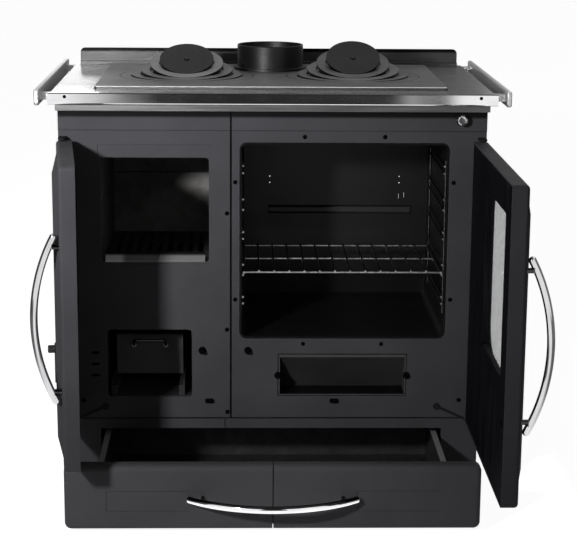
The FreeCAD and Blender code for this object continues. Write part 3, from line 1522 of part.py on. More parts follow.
def make_drawer_fronts():
    """Two front panels that meet in the middle, with rounded edges and a sunk field each."""
    field_start, field_width, field_rise, field_height, field_sink = 168, 165, 39, 43, 1.5
    edge_round = 12
    for side, way in SIDES.items():
        body = new_body(f"drawer_front_{side}")
        sketch = new_sketch(body, "XZ_Plane", -DRAWER_BACK)
        seam_x, outer_x = d.seam_gap / 2 * way, d.drawer_half * way
        left = seam_x if way > 0 else outer_x
        width = d.drawer_half - d.seam_gap / 2
        add_rectangle(sketch, left, d.drawer_bottom, width, d.drawer_height)
        pad(body, sketch, d.drawer_thick)
        fillet(body, d.drawer_corner, lambda edge: runs_along(edge, "y") and at_level(edge, "x", outer_x))
        fillet(body, edge_round, lambda edge: at_level(edge, "y", DRAWER_FACE)
               and not at_level(edge, "x", seam_x))
        sketch = new_sketch(body, "XZ_Plane", -DRAWER_FACE)
        field_left = as_size(field_start if way > 0 else -field_start - field_width)
        field_bottom = d.drawer_bottom + field_rise
        add_rectangle(sketch, field_left, field_bottom, as_size(field_width), as_size(field_height))
        pocket(body, sketch, field_sink)
        place(body, deep=-d.drawer_pull)
        keep(body, f"drawer_front_{side}")


def make_drawer_box():
    """Sheet box of the drawer with a turned-in rim along its sides and an apron behind the fronts."""
    wall, rim, apron_half, apron_drop = 2.5, 12, 300, 11
    body = new_body("drawer_box")
    width = d.drawer_box_half * 2
    front = DRAWER_BACK
    sketch = new_sketch(body, "XY_Plane")
    add_rectangle(sketch, -d.drawer_box_half, front, width, d.drawer_box_depth)
    pad(body, sketch, d.drawer_box_height)
    sketch = new_sketch(body, "XY_Plane", -apron_drop)
    add_rectangle(sketch, as_size(-apron_half), front, as_size(apron_half * 2), wall)
    pad(body, sketch, apron_drop)
    sketch = new_sketch(body, "XY_Plane", d.drawer_box_height)
    add_rectangle(
        sketch, rim - d.drawer_box_half, front + wall, width - rim * 2, d.drawer_box_depth - wall * 2,
    )
    pocket(body, sketch, d.drawer_box_height - wall)
    sketch = new_sketch(body, "XY_Plane", d.drawer_box_height - wall)
    for left in (wall - d.drawer_box_half, d.drawer_box_half - rim):
        add_rectangle(sketch, left, front + wall, as_size(rim - wall), d.drawer_box_depth - wall * 2)
    pocket(body, sketch, d.drawer_box_height - wall * 2)
    place(body, deep=-d.drawer_pull, up=d.drawer_box_bottom)
    keep(body, "drawer_box")


def make_drawer_handle():
    """Bowed handle across both drawer fronts."""
    handle = bow_handle(
        "drawer_handle", False, as_size(0), DRAWER_FACE, d.drawer_handle_z,
        d.drawer_handle_chord, d.drawer_handle_sag,
    )
    place(handle, deep=-d.drawer_pull)
    keep(handle, "drawer_handle")


def make_drawer_runners():
    """Shelves on the side panels that carry the drawer box, with an upright guide each."""
    foot, guide_gap, guide_top = 14, 2.5, 60
    thick, slide_gap = 3, 0.5
    bottom = d.base_height + d.sheet
    rails = []
    for side, way in SIDES.items():
        body = new_body(f"drawer_runner_{side}")
        sketch = new_sketch(body, "XZ_Plane", -BACK_INSIDE + d.sheet)
        inner = d.drawer_box_half - foot
        guide = d.drawer_box_half + guide_gap
        carry = d.drawer_box_bottom - slide_gap
        add_polygon(sketch, [
            (inner * way, bottom),
            (SIDE_INSIDE * way, bottom),
            (SIDE_INSIDE * way, bottom + thick),
            ((guide + thick) * way, bottom + thick),
            ((guide + thick) * way, guide_top),
            (guide * way, guide_top),
            (guide * way, carry),
            (inner * way, carry),
        ])
        pad(body, sketch, BACK_INSIDE - d.sheet * 2 - PLATE_BACK)
        rails.append(body)
    keep(group("drawer_runners", rails), "drawer_runners")


def build_all():
    make_base_pan()
    make_side_panels()
    make_back_panel()
    make_bay_ceiling()
    make_firebox_front_plate()
    make_oven_front_plate()
    make_bay_frame()
    make_plate_screws()
    make_door_catches()
    make_hinge_brackets()
    make_firebox_shell()
    make_firebricks()
    make_fire_grate()
    make_firebox_sill()
    make_ash_chamber()
    make_ash_pan()
    make_ash_pan_pull()
    make_oven_box()
    make_oven_opening_seal()
    make_oven_side_racks()
    make_oven_rack()
    make_smoke_baffle()
    make_damper()
    make_soot_cover()
    make_cooktop_subframe()
    make_cooktop_frame()
    make_hot_plate()
    make_burners()
    make_front_rail()
    make_side_rails()
    make_rail_fixings()
    make_backsplash()
    make_flue_collar()
    for side in SIDES:
        make_door_panel(side)
        make_door_liner(side)
    make_left_door_gasket()
    make_oven_window()
    make_door_handles()
    make_air_regulator()
    make_drawer_fronts()
    make_drawer_box()
    make_drawer_handle()
    make_drawer_runners()


def write_parts():
    """Check every object, then write one file for each sub-part."""
    document.recompute()
    for item in document.Objects:
        if {"Invalid", "Error"} & set(item.State):
            raise RuntimeError(f"{item.Label} did not build: {item.State}")
    for item in nodes:
        if item.Shape.isNull() or not item.Shape.isValid() or not item.Shape.Solids:
            raise RuntimeError(f"{item.Label} has no valid solid")
    os.makedirs("parts", exist_ok=True)
    for item in nodes:
        item.Shape.exportStep(f"parts/{item.Label}.step")


build_all()
write_parts()
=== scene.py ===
import json
import math

import bmesh
import bpy
from mathutils import Matrix, Vector


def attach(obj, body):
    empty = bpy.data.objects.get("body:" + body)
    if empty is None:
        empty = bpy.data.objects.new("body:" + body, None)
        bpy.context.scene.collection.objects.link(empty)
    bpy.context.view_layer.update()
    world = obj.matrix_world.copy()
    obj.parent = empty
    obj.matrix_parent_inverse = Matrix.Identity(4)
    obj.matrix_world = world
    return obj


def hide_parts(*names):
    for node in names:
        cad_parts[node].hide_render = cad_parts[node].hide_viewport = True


# A wood cookstove in a plain pale studio, seen from the front with its doors and drawer open.

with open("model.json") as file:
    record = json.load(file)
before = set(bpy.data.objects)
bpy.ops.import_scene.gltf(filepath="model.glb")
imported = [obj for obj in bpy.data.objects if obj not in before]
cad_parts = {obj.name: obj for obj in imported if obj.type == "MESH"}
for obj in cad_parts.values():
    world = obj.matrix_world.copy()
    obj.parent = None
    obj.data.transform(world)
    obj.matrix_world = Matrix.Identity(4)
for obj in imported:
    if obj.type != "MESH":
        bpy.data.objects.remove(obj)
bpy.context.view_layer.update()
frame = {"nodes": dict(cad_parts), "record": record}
nodes = frame["nodes"]
scene = bpy.context.scene
scene.view_settings.view_transform = "Standard"

MM = 0.001

# Sizes that the added pieces share with the stove, in millimetres and degrees
FRONT_Y = -280.0
PLATE_BACK_Y = -274.0
HINGE_X, HINGE_Y = 427.0, -304.0
LEFT_OPEN = 83.6
LINER_FACE = 18.0
FIRE_LEFT, FIRE_BOTTOM, FIRE_WIDTH, FIRE_HEIGHT = -353.0, 509.0, 222.0, 218.0
OVEN_LEFT, OVEN_BOTTOM, OVEN_WIDTH, OVEN_HEIGHT = -68.0, 346.0, 430.0, 413.0


# Node helpers

def grey(level):
    """A neutral colour."""
    return (level, level, level)


class Paint:
    """A material with its node tree, and short calls for the nodes that the finishes share."""

    def __init__(self, name):
        self.material = bpy.data.materials.new(name)
        self.material.use_nodes = True
        self.tree = self.material.node_tree
        self.shader = self.tree.nodes["Principled BSDF"]
        place = self.add("ShaderNodeTexCoord")
        self.point = place.outputs["Object"]
        self.normal = place.outputs["Normal"]

    def add(self, kind, **values):
        """Add a node and set its inputs by name."""
        node = self.tree.nodes.new(kind)
        for name, value in values.items():
            node.inputs[name.replace("_", " ")].default_value = value
        return node

    def link(self, source, target):
        """Feed one socket from another."""
        self.tree.links.new(source, target)

    def set(self, **values):
        """Set plain values on the shader's own sockets."""
        for name, value in values.items():
            self.shader.inputs[name.replace("_", " ")].default_value = value

    def stretched(self, across, deep, up):
        """The surface point, scaled differently along each axis."""
        node = self.add("ShaderNodeMapping", Scale=(across, deep, up))
        self.link(self.point, node.inputs["Vector"])
        return node.outputs["Vector"]

    def noise(self, scale, detail=3.0, roughness=0.55, point=None):
        """Cloudy pattern; the scale is in clouds to the metre."""
        node = self.add("ShaderNodeTexNoise", Scale=scale, Detail=detail, Roughness=roughness)
        self.link(point or self.point, node.inputs["Vector"])
        return node.outputs["Fac"]

    def spread(self, source, low, high, start=0.3, end=0.7):
        """Stretch a pattern from one range to another."""
        node = self.add("ShaderNodeMapRange")
        for name, value in (("From Min", start), ("From Max", end), ("To Min", low), ("To Max", high)):
            node.inputs[name].default_value = value
        self.link(source, node.inputs["Value"])
        return node.outputs["Result"]

    def colours(self, source, dark, light, start=0.35, end=0.65):
        """Blend two colours by a pattern."""
        node = self.add("ShaderNodeValToRGB")
        ramp = node.color_ramp
        ramp.elements[0].position = start
        ramp.elements[1].position = end
        ramp.elements[0].color = (*dark, 1.0)
        ramp.elements[1].color = (*light, 1.0)
        self.link(source, node.inputs["Fac"])
        return node.outputs["Color"]

    def along(self, axis):
        """The surface point's place along one axis, in metres."""
        split = self.add("ShaderNodeSeparateXYZ")
        self.link(self.point, split.inputs["Vector"])
        return split.outputs[axis]

    def greys(self, source, stops):
        """Grey levels along a range, from pairs of place and level in rising order."""
        start, end = stops[0][0], stops[-1][0]
        node = self.add("ShaderNodeValToRGB")
        ramp = node.color_ramp
        while len(ramp.elements) < len(stops):
            ramp.elements.new(0.5)
        for element, (place, level) in zip(ramp.elements, stops):
            element.position = (place - start) / (end - start)
            element.color = (*grey(level), 1.0)
        self.link(self.spread(source, 0.0, 1.0, start, end), node.inputs["Fac"])
        return node.outputs["Color"]

    def plain(self, level):
        """One grey as a colour source."""
        node = self.add("ShaderNodeRGB")
        node.outputs["Color"].default_value = (*grey(level), 1.0)
        return node.outputs["Color"]

    def away(self, axis, place):
        """Distance along one axis from a place, in metres."""
        return self.combine("ABSOLUTE", self.combine("SUBTRACT", self.along(axis), place))

    def brushing(self):
        """Fine lines along the stove's width, as a brush leaves them on steel."""
        return self.noise(1.0, detail=4.0, point=self.stretched(9.0, 700.0, 700.0))

    def facing(self, axis, start, end):
        """0 to 1 as the surface's direction along one axis, which is -1 to 1, goes from start to end."""
        split = self.add("ShaderNodeSeparateXYZ")
        self.link(self.normal, split.inputs["Vector"])
        return self.spread(split.outputs[axis], 0.0, 1.0, start, end)

    def upward(self, start=0.6, end=0.8):
        """0 on sides and undersides, 1 on faces that look up."""
        return self.facing("Z", start, end)

    def frontward(self, start, end):
        """1 on faces that look to the front, 0 on all others."""
        return self.facing("Y", -start, -end)

    def combine(self, operation, first, second=None):
        """One or two values through a math node; the second may be a plain number."""
        node = self.add("ShaderNodeMath")
        node.operation = operation
        self.link(first, node.inputs[0])
        if isinstance(second, float):
            node.inputs[1].default_value = second
        elif second:
            self.link(second, node.inputs[1])
        return node.outputs["Value"]

    def mix(self, share, first, second):
        """Blend from one colour pattern to another."""
        node = self.add("ShaderNodeMix")
        node.data_type = "RGBA"
        sockets = {socket.identifier: socket for socket in node.inputs}
        self.link(share, sockets["Factor_Float"])
        self.link(first, sockets["A_Color"])
        self.link(second, sockets["B_Color"])
        return next(socket for socket in node.outputs if socket.identifier == "Result_Color")

    def soft_edges(self, radius_mm):
        """Normal of a surface whose sharp edges are slightly rounded."""
        node = self.add("ShaderNodeBevel", Radius=radius_mm * MM)
        return node.outputs["Normal"]

    def base(self, source):
        """Colour the surface by a pattern."""
        self.link(source, self.shader.inputs["Base Color"])

    def rough(self, source):
        """Roughen the surface by a pattern."""
        self.link(source, self.shader.inputs["Roughness"])

    def bump(self, source, strength, depth_mm, under=None):
        """Raise the surface by a pattern, on top of an earlier bump if there is one."""
        node = self.add("ShaderNodeBump", Strength=strength, Distance=depth_mm * MM)
        self.link(source, node.inputs["Height"])
        if under:
            self.link(under, node.inputs["Normal"])
        self.link(node.outputs["Normal"], self.shader.inputs["Normal"])
        return node.outputs["Normal"]


# Finishes

def seam_shade(paint):
    """Painted shade on the front plates: a shadow under the cooktop, black seams, a fainter shade on the
    pressed line.
    """
    top_start, top_end = 0.808, 0.8135
    plate_bottom, seam_x, seam_near, seam_far = 0.172, -0.086, 0.0014, 0.0026
    line_z, line_near, line_far, line_shade = 0.7835, 0.0004, 0.0012, 0.45
    # Painted shadow where the cooktop overhangs the plates.
    shadow_under_top = paint.spread(paint.along("Z"), 0.0, 1.0, top_start, top_end)
    lower = paint.spread(paint.along("Z"), 1.0, 0.0, plate_bottom + seam_near, plate_bottom + seam_far)
    upright = paint.spread(paint.away("X", seam_x), 1.0, 0.0, seam_near, seam_far)
    # Painted shade in the crease of the pressed line.
    line = paint.spread(paint.away("Z", line_z), line_shade, 0.0, line_near, line_far)
    seams = paint.combine("MAXIMUM", lower, upright)
    return paint.combine("MAXIMUM", shadow_under_top, paint.combine("MAXIMUM", seams, line))


def satin_paint(name, dark, light, gloss, darker_bands=False):
    """Baked stove paint: fine grain, faint clouds and handling marks; painted shade and black seams if
    asked for.
    """
    paint = Paint(name)
    clouds = paint.noise(7.0, detail=5.0)
    tone = paint.colours(clouds, dark, light)
    if darker_bands:
        # Painted shadow under the cooktop and on the pressed line, and black seams.
        shade_and_seam_black = 0.002
        tone = paint.mix(seam_shade(paint), tone, paint.plain(shade_and_seam_black))
    paint.base(tone)
    marks = paint.noise(26.0, detail=6.0, roughness=0.7)
    paint.rough(paint.spread(marks, gloss, gloss + 0.12))
    grain = paint.noise(950.0, detail=2.0)
    paint.bump(grain, 0.16, 0.25, paint.soft_edges(1.2))
    paint.set(Specular_IOR_Level=0.07)
    return paint.material


def enamel():
    """Black oven enamel: glassy, with faint clouds and a few fine flecks, and a painted highlight on the
    pressed bead.
    """
    paint = Paint("enamel")
    bead_crest, crest_near, crest_far = 0.137, 0.0005, 0.005
    flecks = paint.noise(520.0, detail=1.0)
    coat = paint.colours(flecks, grey(0.006), grey(0.010), 0.66, 0.78)
    # Painted highlight along the crest of the pressed bead, on faces that look to the front.
    ahead = paint.spread(paint.along("Y"), 1.0, 0.0, bead_crest + crest_near, bead_crest + crest_far)
    painted_light = paint.combine("MULTIPLY", ahead, paint.frontward(0.3, 0.8))
    paint.base(paint.mix(painted_light, coat, paint.plain(0.022)))
    clouds = paint.noise(9.0, detail=3.0)
    paint.rough(paint.spread(clouds, 0.3, 0.4))
    paint.bump(flecks, 0.04, 0.1, paint.soft_edges(2.0))
    paint.set(Specular_IOR_Level=0.2)
    return paint.material


def liner_black(name, dark, light, sheen):
    """Heat-proof black on the inner side of a door, with faint run marks."""
    paint = Paint(name)
    runs = paint.noise(1.0, detail=4.0, point=paint.stretched(60.0, 60.0, 7.0))
    paint.base(paint.colours(runs, dark, light))
    paint.rough(paint.spread(runs, 0.45, 0.6))
    grain = paint.noise(800.0, detail=2.0)
    paint.bump(grain, 0.15, 0.2, paint.soft_edges(1.5))
    paint.set(Specular_IOR_Level=sheen)
    return paint.material


def black_steel():
    """Plain sheet darkened by heat, blotched and dull."""
    paint = Paint("black_steel")
    blotches = paint.noise(18.0, detail=7.0, roughness=0.65)
    paint.base(paint.colours(blotches, grey(0.007), (0.017, 0.0165, 0.016)))
    paint.rough(paint.spread(blotches, 0.48, 0.7))
    scale = paint.noise(420.0, detail=3.0)
    paint.bump(scale, 0.2, 0.3, paint.soft_edges(0.8))
    paint.set(Specular_IOR_Level=0.2)
    return paint.material


def ground_iron(name, dark, light, stretch, skin_dark=0.006, skin_light=0.012, edge_highlight=None):
    """Cast iron: a ground top with fine lines and pores, casting skin on the sides, a painted edge
    highlight if given.
    """
    paint = Paint(name)
    lines = paint.noise(1.0, detail=4.0, point=paint.stretched(*stretch))
    patches = paint.noise(11.0, detail=5.0)
    pores = paint.noise(700.0, detail=2.0)
    top = paint.colours(patches, dark, light)
    skin = paint.colours(pores, grey(skin_dark), grey(skin_light))
    if edge_highlight:
        # Painted highlight: a near-white band on the rounded front edge.
        rounding = paint.combine("MULTIPLY", paint.upward(0.15, 0.3), paint.frontward(0.05, 0.2))
        edge = paint.mix(rounding, skin, paint.plain(edge_highlight))
        paint.base(paint.mix(paint.upward(0.97, 0.995), edge, top))
    else:
        paint.base(paint.mix(paint.upward(), skin, top))
    paint.rough(paint.spread(lines, 0.34, 0.5))
    under = paint.bump(lines, 0.12, 0.15, paint.soft_edges(1.0))
    paint.bump(pores, 0.12, 0.2, under)
    paint.set(Metallic=0.85)
    return paint.material


def brushed_steel(name, dark, light, gloss):
    """Bare steel sheet brushed along its length."""
    paint = Paint(name)
    lines = paint.brushing()
    paint.base(paint.colours(lines, dark, light))
    paint.rough(paint.spread(lines, gloss, gloss + 0.14))
    paint.bump(lines, 0.1, 0.1, paint.soft_edges(0.8))
    paint.set(Metallic=1.0)
    return paint.material


def rack_wire(name, start, end):
    """Dark oven wire with a painted glint where it faces the door squarely enough."""
    paint = Paint(name)
    wear = paint.noise(140.0, detail=4.0)
    dark = paint.colours(wear, grey(0.03), grey(0.05))
    bright = paint.colours(wear, grey(0.22), grey(0.42))
    # Painted glint: faces that look to the front get a bright colour.
    paint.base(paint.mix(paint.frontward(start, end), dark, bright))
    paint.rough(paint.spread(wear, 0.25, 0.4))
    paint.set(Metallic=1.0)
    return paint.material


def rail_fixing():
    """Steel of the stand-offs beside the cooktop, black on the screws of the front rail."""
    paint = Paint("rail_fixing")
    screws_end, fixings_start = 0.435, 0.445
    grain = paint.noise(300.0, detail=3.0)
    steel = paint.colours(grain, grey(0.38), grey(0.5))
    outside = paint.spread(paint.away("X", 0.0), 0.0, 1.0, screws_end, fixings_start)
    paint.base(paint.mix(outside, paint.plain(0.002), steel))
    paint.rough(paint.spread(grain, 0.3, 0.42))
    paint.set(Metallic=1.0)
    return paint.material


def frame_steel():
    """Brushed steel of the cooktop frame, with a painted highlight near white at its front left corner."""
    paint = Paint("frame_steel")
    corner, full, none = (-0.435, -0.305, 0.862), 0.02, 0.16
    lines = paint.brushing()
    steel = paint.colours(lines, grey(0.32), grey(0.36))
    apart = paint.add("ShaderNodeVectorMath")
    apart.operation = "DISTANCE"
    apart.inputs[1].default_value = corner
    paint.link(paint.point, apart.inputs[0])
    # Painted highlight: a near-white spot that stands in for glare at the front left corner.
    corner_glare = paint.spread(apart.outputs["Value"], 1.0, 0.0, full, none)
    paint.base(paint.mix(corner_glare, steel, paint.plain(0.95)))
    paint.rough(paint.spread(lines, 0.24, 0.3))
    paint.bump(lines, 0.03, 0.05, paint.soft_edges(0.8))
    paint.set(Metallic=1.0)
    return paint.material


def upstand_steel():
    """Brushed steel of the upstand, with painted shade in black along its folded top."""
    paint = Paint("upstand_steel")
    hem_start, hem_end = 0.889, 0.892
    lines = paint.brushing()
    steel = paint.colours(lines, grey(0.060), grey(0.083))
    # Painted shade: black along the top edge.
    top_shade = paint.spread(paint.along("Z"), 0.0, 1.0, hem_start, hem_end)
    paint.base(paint.mix(top_shade, steel, paint.plain(0.006)))
    paint.rough(paint.spread(lines, 0.3, 0.44))
    paint.bump(lines, 0.1, 0.1, paint.soft_edges(0.8))
    paint.set(Metallic=1.0)
    return paint.material


def cover_black():
    """Smooth half-gloss black of the soot cover, with painted shade on the foot of its hollow."""
    paint = Paint("cover_black")
    clouds = paint.noise(14.0, detail=4.0)
    coat = paint.colours(clouds, (0.031, 0.031, 0.032), (0.041, 0.041, 0.042))
    # Painted shade: faces that look up, at the foot of the hollow, are near black.
    paint.base(paint.mix(paint.upward(0.7, 0.9), coat, paint.plain(0.001)))
    paint.rough(paint.spread(clouds, 0.32, 0.42))
    grain = paint.noise(900.0, detail=2.0)
    paint.bump(grain, 0.08, 0.15, paint.soft_edges(1.0))
    paint.set(Specular_IOR_Level=0.3)
    return paint.material


def sill_grey():
    """Grey paint of the firebox sill with painted light, pale on its left end and lighter in the middle;
    darker along its upper edge.
    """
    paint = Paint("sill_grey")
    soot_start, soot_end = 0.520, 0.524
    # Painted light: a pale lit patch on the left end and a lighter middle that lifts the door's shadow.
    levels = [(-0.353, 0.9), (-0.314, 0.9), (-0.303, 0.24), (-0.245, 0.24), (-0.225, 0.16), (-0.131, 0.16)]
    painted_light = paint.greys(paint.along("X"), levels)
    darker_bands = paint.spread(paint.along("Z"), 0.0, 1.0, soot_start, soot_end)
    paint.base(paint.mix(darker_bands, painted_light, paint.plain(0.004)))
    marks = paint.noise(26.0, detail=6.0, roughness=0.7)
    paint.rough(paint.spread(marks, 0.45, 0.57))
    paint.bump(marks, 0.1, 0.2, paint.soft_edges(1.2))
    paint.set(Specular_IOR_Level=0.07)
    return paint.material


def fitting_black():
    """Dull black of the catches and screws."""
    paint = Paint("fitting_black")
    grain = paint.noise(600.0, detail=3.0)
    paint.base(paint.colours(grain, grey(0.001), grey(0.003)))
    paint.rough(paint.spread(grain, 0.5, 0.7))
    paint.bump(grain, 0.15, 0.15, paint.soft_edges(0.6))
    paint.set(Specular_IOR_Level=0.015)
    return paint.material


def drawer_sheet():
    """Dark rolled sheet of the drawer, scuffed by firewood, with a painted highlight along its top edges.
    """
    paint = Paint("drawer_sheet")
    rim_start, rim_end = 0.132, 0.134
    dirt = paint.noise(24.0, detail=6.0, roughness=0.65)
    scuffs = paint.noise(1.0, detail=5.0, point=paint.stretched(40.0, 9.0, 40.0))
    sheet = paint.colours(dirt, (0.034, 0.034, 0.035), (0.055, 0.055, 0.056))
    rim_height = paint.spread(paint.along("Z"), 0.0, 1.0, rim_start, rim_end)
    # Painted highlight on the upward faces of the drawer's top edges.
    rim_highlight = paint.combine("MULTIPLY", paint.upward(0.7, 0.9), rim_height)
    paint.base(paint.mix(rim_highlight, sheet, paint.plain(0.42)))
    paint.rough(paint.spread(scuffs, 0.4, 0.6))
    paint.bump(scuffs, 0.08, 0.2, paint.soft_edges(0.8))
    paint.set(Metallic=0.6)
    return paint.material


def chrome(name, painted_dark_top=None):
    """Bright chrome with faint wipe marks; where asked, a painted dark reflection on the faces that turn
    upward.
    """
    paint = Paint(name)
    wipes = paint.noise(1.0, detail=5.0, point=paint.stretched(24.0, 60.0, 60.0))
    tone = paint.colours(wipes, (0.80, 0.80, 0.81), (0.88, 0.88, 0.89))
    if painted_dark_top:
        start, end, level = painted_dark_top
        # Painted dark reflection: upward faces get a dark colour.
        tone = paint.mix(paint.upward(start, end), tone, paint.plain(level))
    paint.base(tone)
    paint.rough(paint.spread(wipes, 0.035, 0.075))
    paint.set(Metallic=1.0)
    return paint.material


def handle_chrome(name, bar_side, door_side):
    """Chrome of a door handle, with painted shade on its two posts where they meet the door."""
    paint = Paint(name)
    middle_z, post_reach, edge = 0.471, 0.146, 0.001
    wipes = paint.noise(1.0, detail=5.0, point=paint.stretched(60.0, 60.0, 24.0))
    bright = paint.colours(wipes, (0.66, 0.66, 0.67), (0.76, 0.76, 0.77))
    beside_door = paint.spread(paint.along("X"), 0.0, 1.0, bar_side, door_side)
    within = paint.spread(paint.away("Z", middle_z), 1.0, 0.0, post_reach, post_reach + edge)
    # Painted shade: the posts behind the bar are near black.
    post_shade = paint.combine("MULTIPLY", beside_door, within)
    paint.base(paint.mix(post_shade, bright, paint.plain(0.05)))
    paint.rough(paint.spread(wipes, 0.05, 0.09))
    paint.set(Metallic=1.0)
    return paint.material


def window_glass():
    """Clear heat-proof pane with a faint haze of smoke."""
    paint = Paint("window_glass")
    haze = paint.noise(5.0, detail=3.0)
    paint.base(paint.colours(haze, (0.93, 0.945, 0.945), (0.98, 0.985, 0.985)))
    paint.rough(paint.spread(haze, 0.0, 0.012))
    paint.set(Transmission_Weight=1.0, IOR=1.47)
    return paint.material


def firebrick():
    """Light brick with open pores, blackened by soot, and much darker on the left wall."""
    paint = Paint("firebrick")
    soot = paint.noise(13.0, detail=6.0, roughness=0.6)
    clay = paint.colours(soot, (0.15, 0.148, 0.145), (0.32, 0.31, 0.30), 0.35, 0.7)
    left_wall = paint.facing("X", 0.5, 0.8)
    paint.base(paint.mix(left_wall, clay, paint.plain(0.05)))
    pores = paint.noise(320.0, detail=3.0)
    paint.rough(paint.spread(pores, 0.75, 0.95))
    paint.bump(pores, 0.5, 0.8)
    paint.set(Specular_IOR_Level=0.2)
    return paint.material


def rope_fibre():
    """Dark glass fibre of the seals."""
    paint = Paint("rope_fibre")
    fibres = paint.noise(900.0, detail=4.0)
    paint.base(paint.colours(fibres, grey(0.003), grey(0.012)))
    paint.rough(paint.spread(fibres, 0.7, 0.95))
    paint.bump(fibres, 0.4, 0.2)
    paint.set(Specular_IOR_Level=0.1)
    return paint.material


DARK_GREY, LIGHT_GREY = (0.048, 0.0475, 0.0525), (0.058, 0.0575, 0.0635)
GROUND_LINES = (10.0, 420.0, 420.0)

# The finish of each material slot
finishes = {
    "charcoal_steel": satin_paint("charcoal_paint", DARK_GREY, LIGHT_GREY, 0.48),
    "black_enamel": enamel(),
    "black_steel": black_steel(),
    "ground_iron": ground_iron("plate_iron", grey(0.15), grey(0.19), GROUND_LINES),
    "plain_steel": brushed_steel("brushed_steel", grey(0.30), grey(0.38), 0.24),
    "chrome": chrome("chrome"),
    "window_glass": window_glass(),
    "firebrick": firebrick(),
    "rope_seal": rope_fibre(),
}

# Finishes of the nodes that differ from the rest of their slot
# The front plates' paint carries the painted shade under the cooktop and on the pressed line.
plate_paint = satin_paint("plate_paint", DARK_GREY, LIGHT_GREY, 0.48, darker_bands=True)
# The drawer fronts' paint is a lighter copy of the plates' paint: painted light.
drawer_lit_paint = satin_paint("drawer_lit_paint", (0.068, 0.0675, 0.073), (0.080, 0.0795, 0.086), 0.48)
fitting = fitting_black()
lid_iron = ground_iron("lid_iron", grey(0.012), grey(0.017), (160.0, 160.0, 160.0))
rail_steel = brushed_steel("rail_steel", grey(0.62), grey(0.72), 0.3)
special_finishes = {
    # Front plates and what is fixed to them
    "firebox_front_plate": plate_paint,
    "oven_front_plate": plate_paint,
    "door_catches": fitting,
    "hinge_brackets": satin_paint("bracket_grey", (0.010, 0.010, 0.011), (0.015, 0.015, 0.016), 0.5),
    "soot_cover": cover_black(),
    "soot_thumbscrews": fitting,
    # Firebox and ash pan
    "firebox_sill": sill_grey(),
    "firebox_shell": satin_paint("shell_soot", grey(0.09), grey(0.13), 0.6),
    "fire_grate": satin_paint("grate_grey", grey(0.03), grey(0.045), 0.55),
    "ash_chamber": satin_paint("chamber_grey", grey(0.022), grey(0.034), 0.55),
    "ash_pan": satin_paint("pan_grey", grey(0.12), grey(0.17), 0.5),
    "ash_pan_pull": brushed_steel("pull_steel", grey(0.05), grey(0.08), 0.3),
    # Oven
    "oven_rack": rack_wire("rack_wire", 0.2, 0.7),
    "oven_side_racks": rack_wire("ladder_wire", 0.985, 0.998),
    # Cooktop
    "cooktop_subframe": brushed_steel("trim_steel", grey(0.10), grey(0.15), 0.3),
    "cooktop_frame": frame_steel(),
    "hot_plate": ground_iron(
        "hot_iron", grey(0.15), grey(0.19), GROUND_LINES, skin_dark=0.06, skin_light=0.10, edge_highlight=0.9,
    ),
    "right_small_ring": ground_iron("ring_iron", grey(0.06), grey(0.08), GROUND_LINES),
    "left_lid": lid_iron,
    "right_lid": lid_iron,
    "flue_collar": ground_iron(
        "collar_iron", grey(0.04), grey(0.058), (90.0, 90.0, 620.0), skin_dark=0.016, skin_light=0.026,
    ),
    "front_rail": chrome("rail_chrome", painted_dark_top=(0.1, 0.4, 0.13)),
    "left_side_rail": rail_steel,
    "right_side_rail": rail_steel,
    "rail_fixings": rail_fixing(),
    "backsplash": upstand_steel(),
    # Doors
    # The left liner is a lighter copy of the right liner's black: painted light.
    "left_door_liner": liner_black("left_liner_lit_black", (0.013, 0.013, 0.0165), (0.026, 0.026, 0.031), 0.18),
    "right_door_liner": liner_black("liner_black", (0.0012, 0.0012, 0.0018), (0.0045, 0.0045, 0.006), 0.05),
    "left_door_handle": handle_chrome("left_handle_chrome", -0.4185, -0.4165),
    "right_door_handle": handle_chrome("right_handle_chrome", 0.4545, 0.4525),
    # Drawer
    "drawer_front_left": drawer_lit_paint,
    "drawer_front_right": drawer_lit_paint,
    "drawer_box": drawer_sheet(),
    "drawer_handle": chrome("drawer_chrome", painted_dark_top=(0.5, 0.62, 0.03)),
}


def dress(piece, material):
    """Give one finish to a part of the stove or of the studio."""
    if piece.material_slots:
        for place in piece.material_slots:
            place.material = material
    else:
        piece.data.materials.append(material)


for entry in frame["record"]["subparts"]:
    node_name = entry["node"]
    dress(nodes[node_name], special_finishes.get(node_name, finishes[entry["material_slot"]]))


# Added pieces

def new_piece(name, mesh_data, body, slot_name, replaced=None, material=None):
    """Put a mesh into the scene as a piece of the stove."""
    piece = bpy.data.objects.new(name, mesh_data)
    scene.collection.objects.link(piece)
    dress(piece, material or finishes[slot_name])
    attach(piece, body)
    if replaced:
        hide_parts(replaced)
    return piece


def mesh_from(build, name, smooth=True):
    """Make a mesh with a function that fills a bmesh."""
    work = bmesh.new()
    build(work)
    bmesh.ops.recalc_face_normals(work, faces=work.faces)
    for face in work.faces:
        face.smooth = smooth
    mesh_data = bpy.data.meshes.new(name)
    work.to_mesh(mesh_data)
    work.free()
    return mesh_data


def loop_path(left, bottom, width, height, radius, step):
    """Even points round a rectangle with round corners, each with its outward direction, in millimetres."""
    corners = (
        (left + width - radius, bottom + radius, -90.0),
        (left + width - radius, bottom + height - radius, 0.0),
        (left + radius, bottom + height - radius, 90.0),
        (left + radius, bottom + radius, 180.0),
    )
    spots = []
    for index, (across, up, first) in enumerate(corners):
        arc_steps = max(3, round(radius * math.pi / 2 / step))
        for number in range(arc_steps):
            angle = math.radians(first + 90.0 * number / arc_steps)
            out = Vector((math.cos(angle), math.sin(angle)))
            spots.append((Vector((across, up)) + out * radius, out))
        angle = math.radians(first + 90.0)
        out = Vector((math.cos(angle), math.sin(angle)))
        start = Vector((across, up)) + out * radius
        next_across, next_up, _ = corners[(index + 1) % len(corners)]
        end = Vector((next_across, next_up)) + out * radius
        run_steps = max(1, round((end - start).length / step))
        for number in range(run_steps):
            spots.append((start.lerp(end, number / run_steps), out))
    return spots


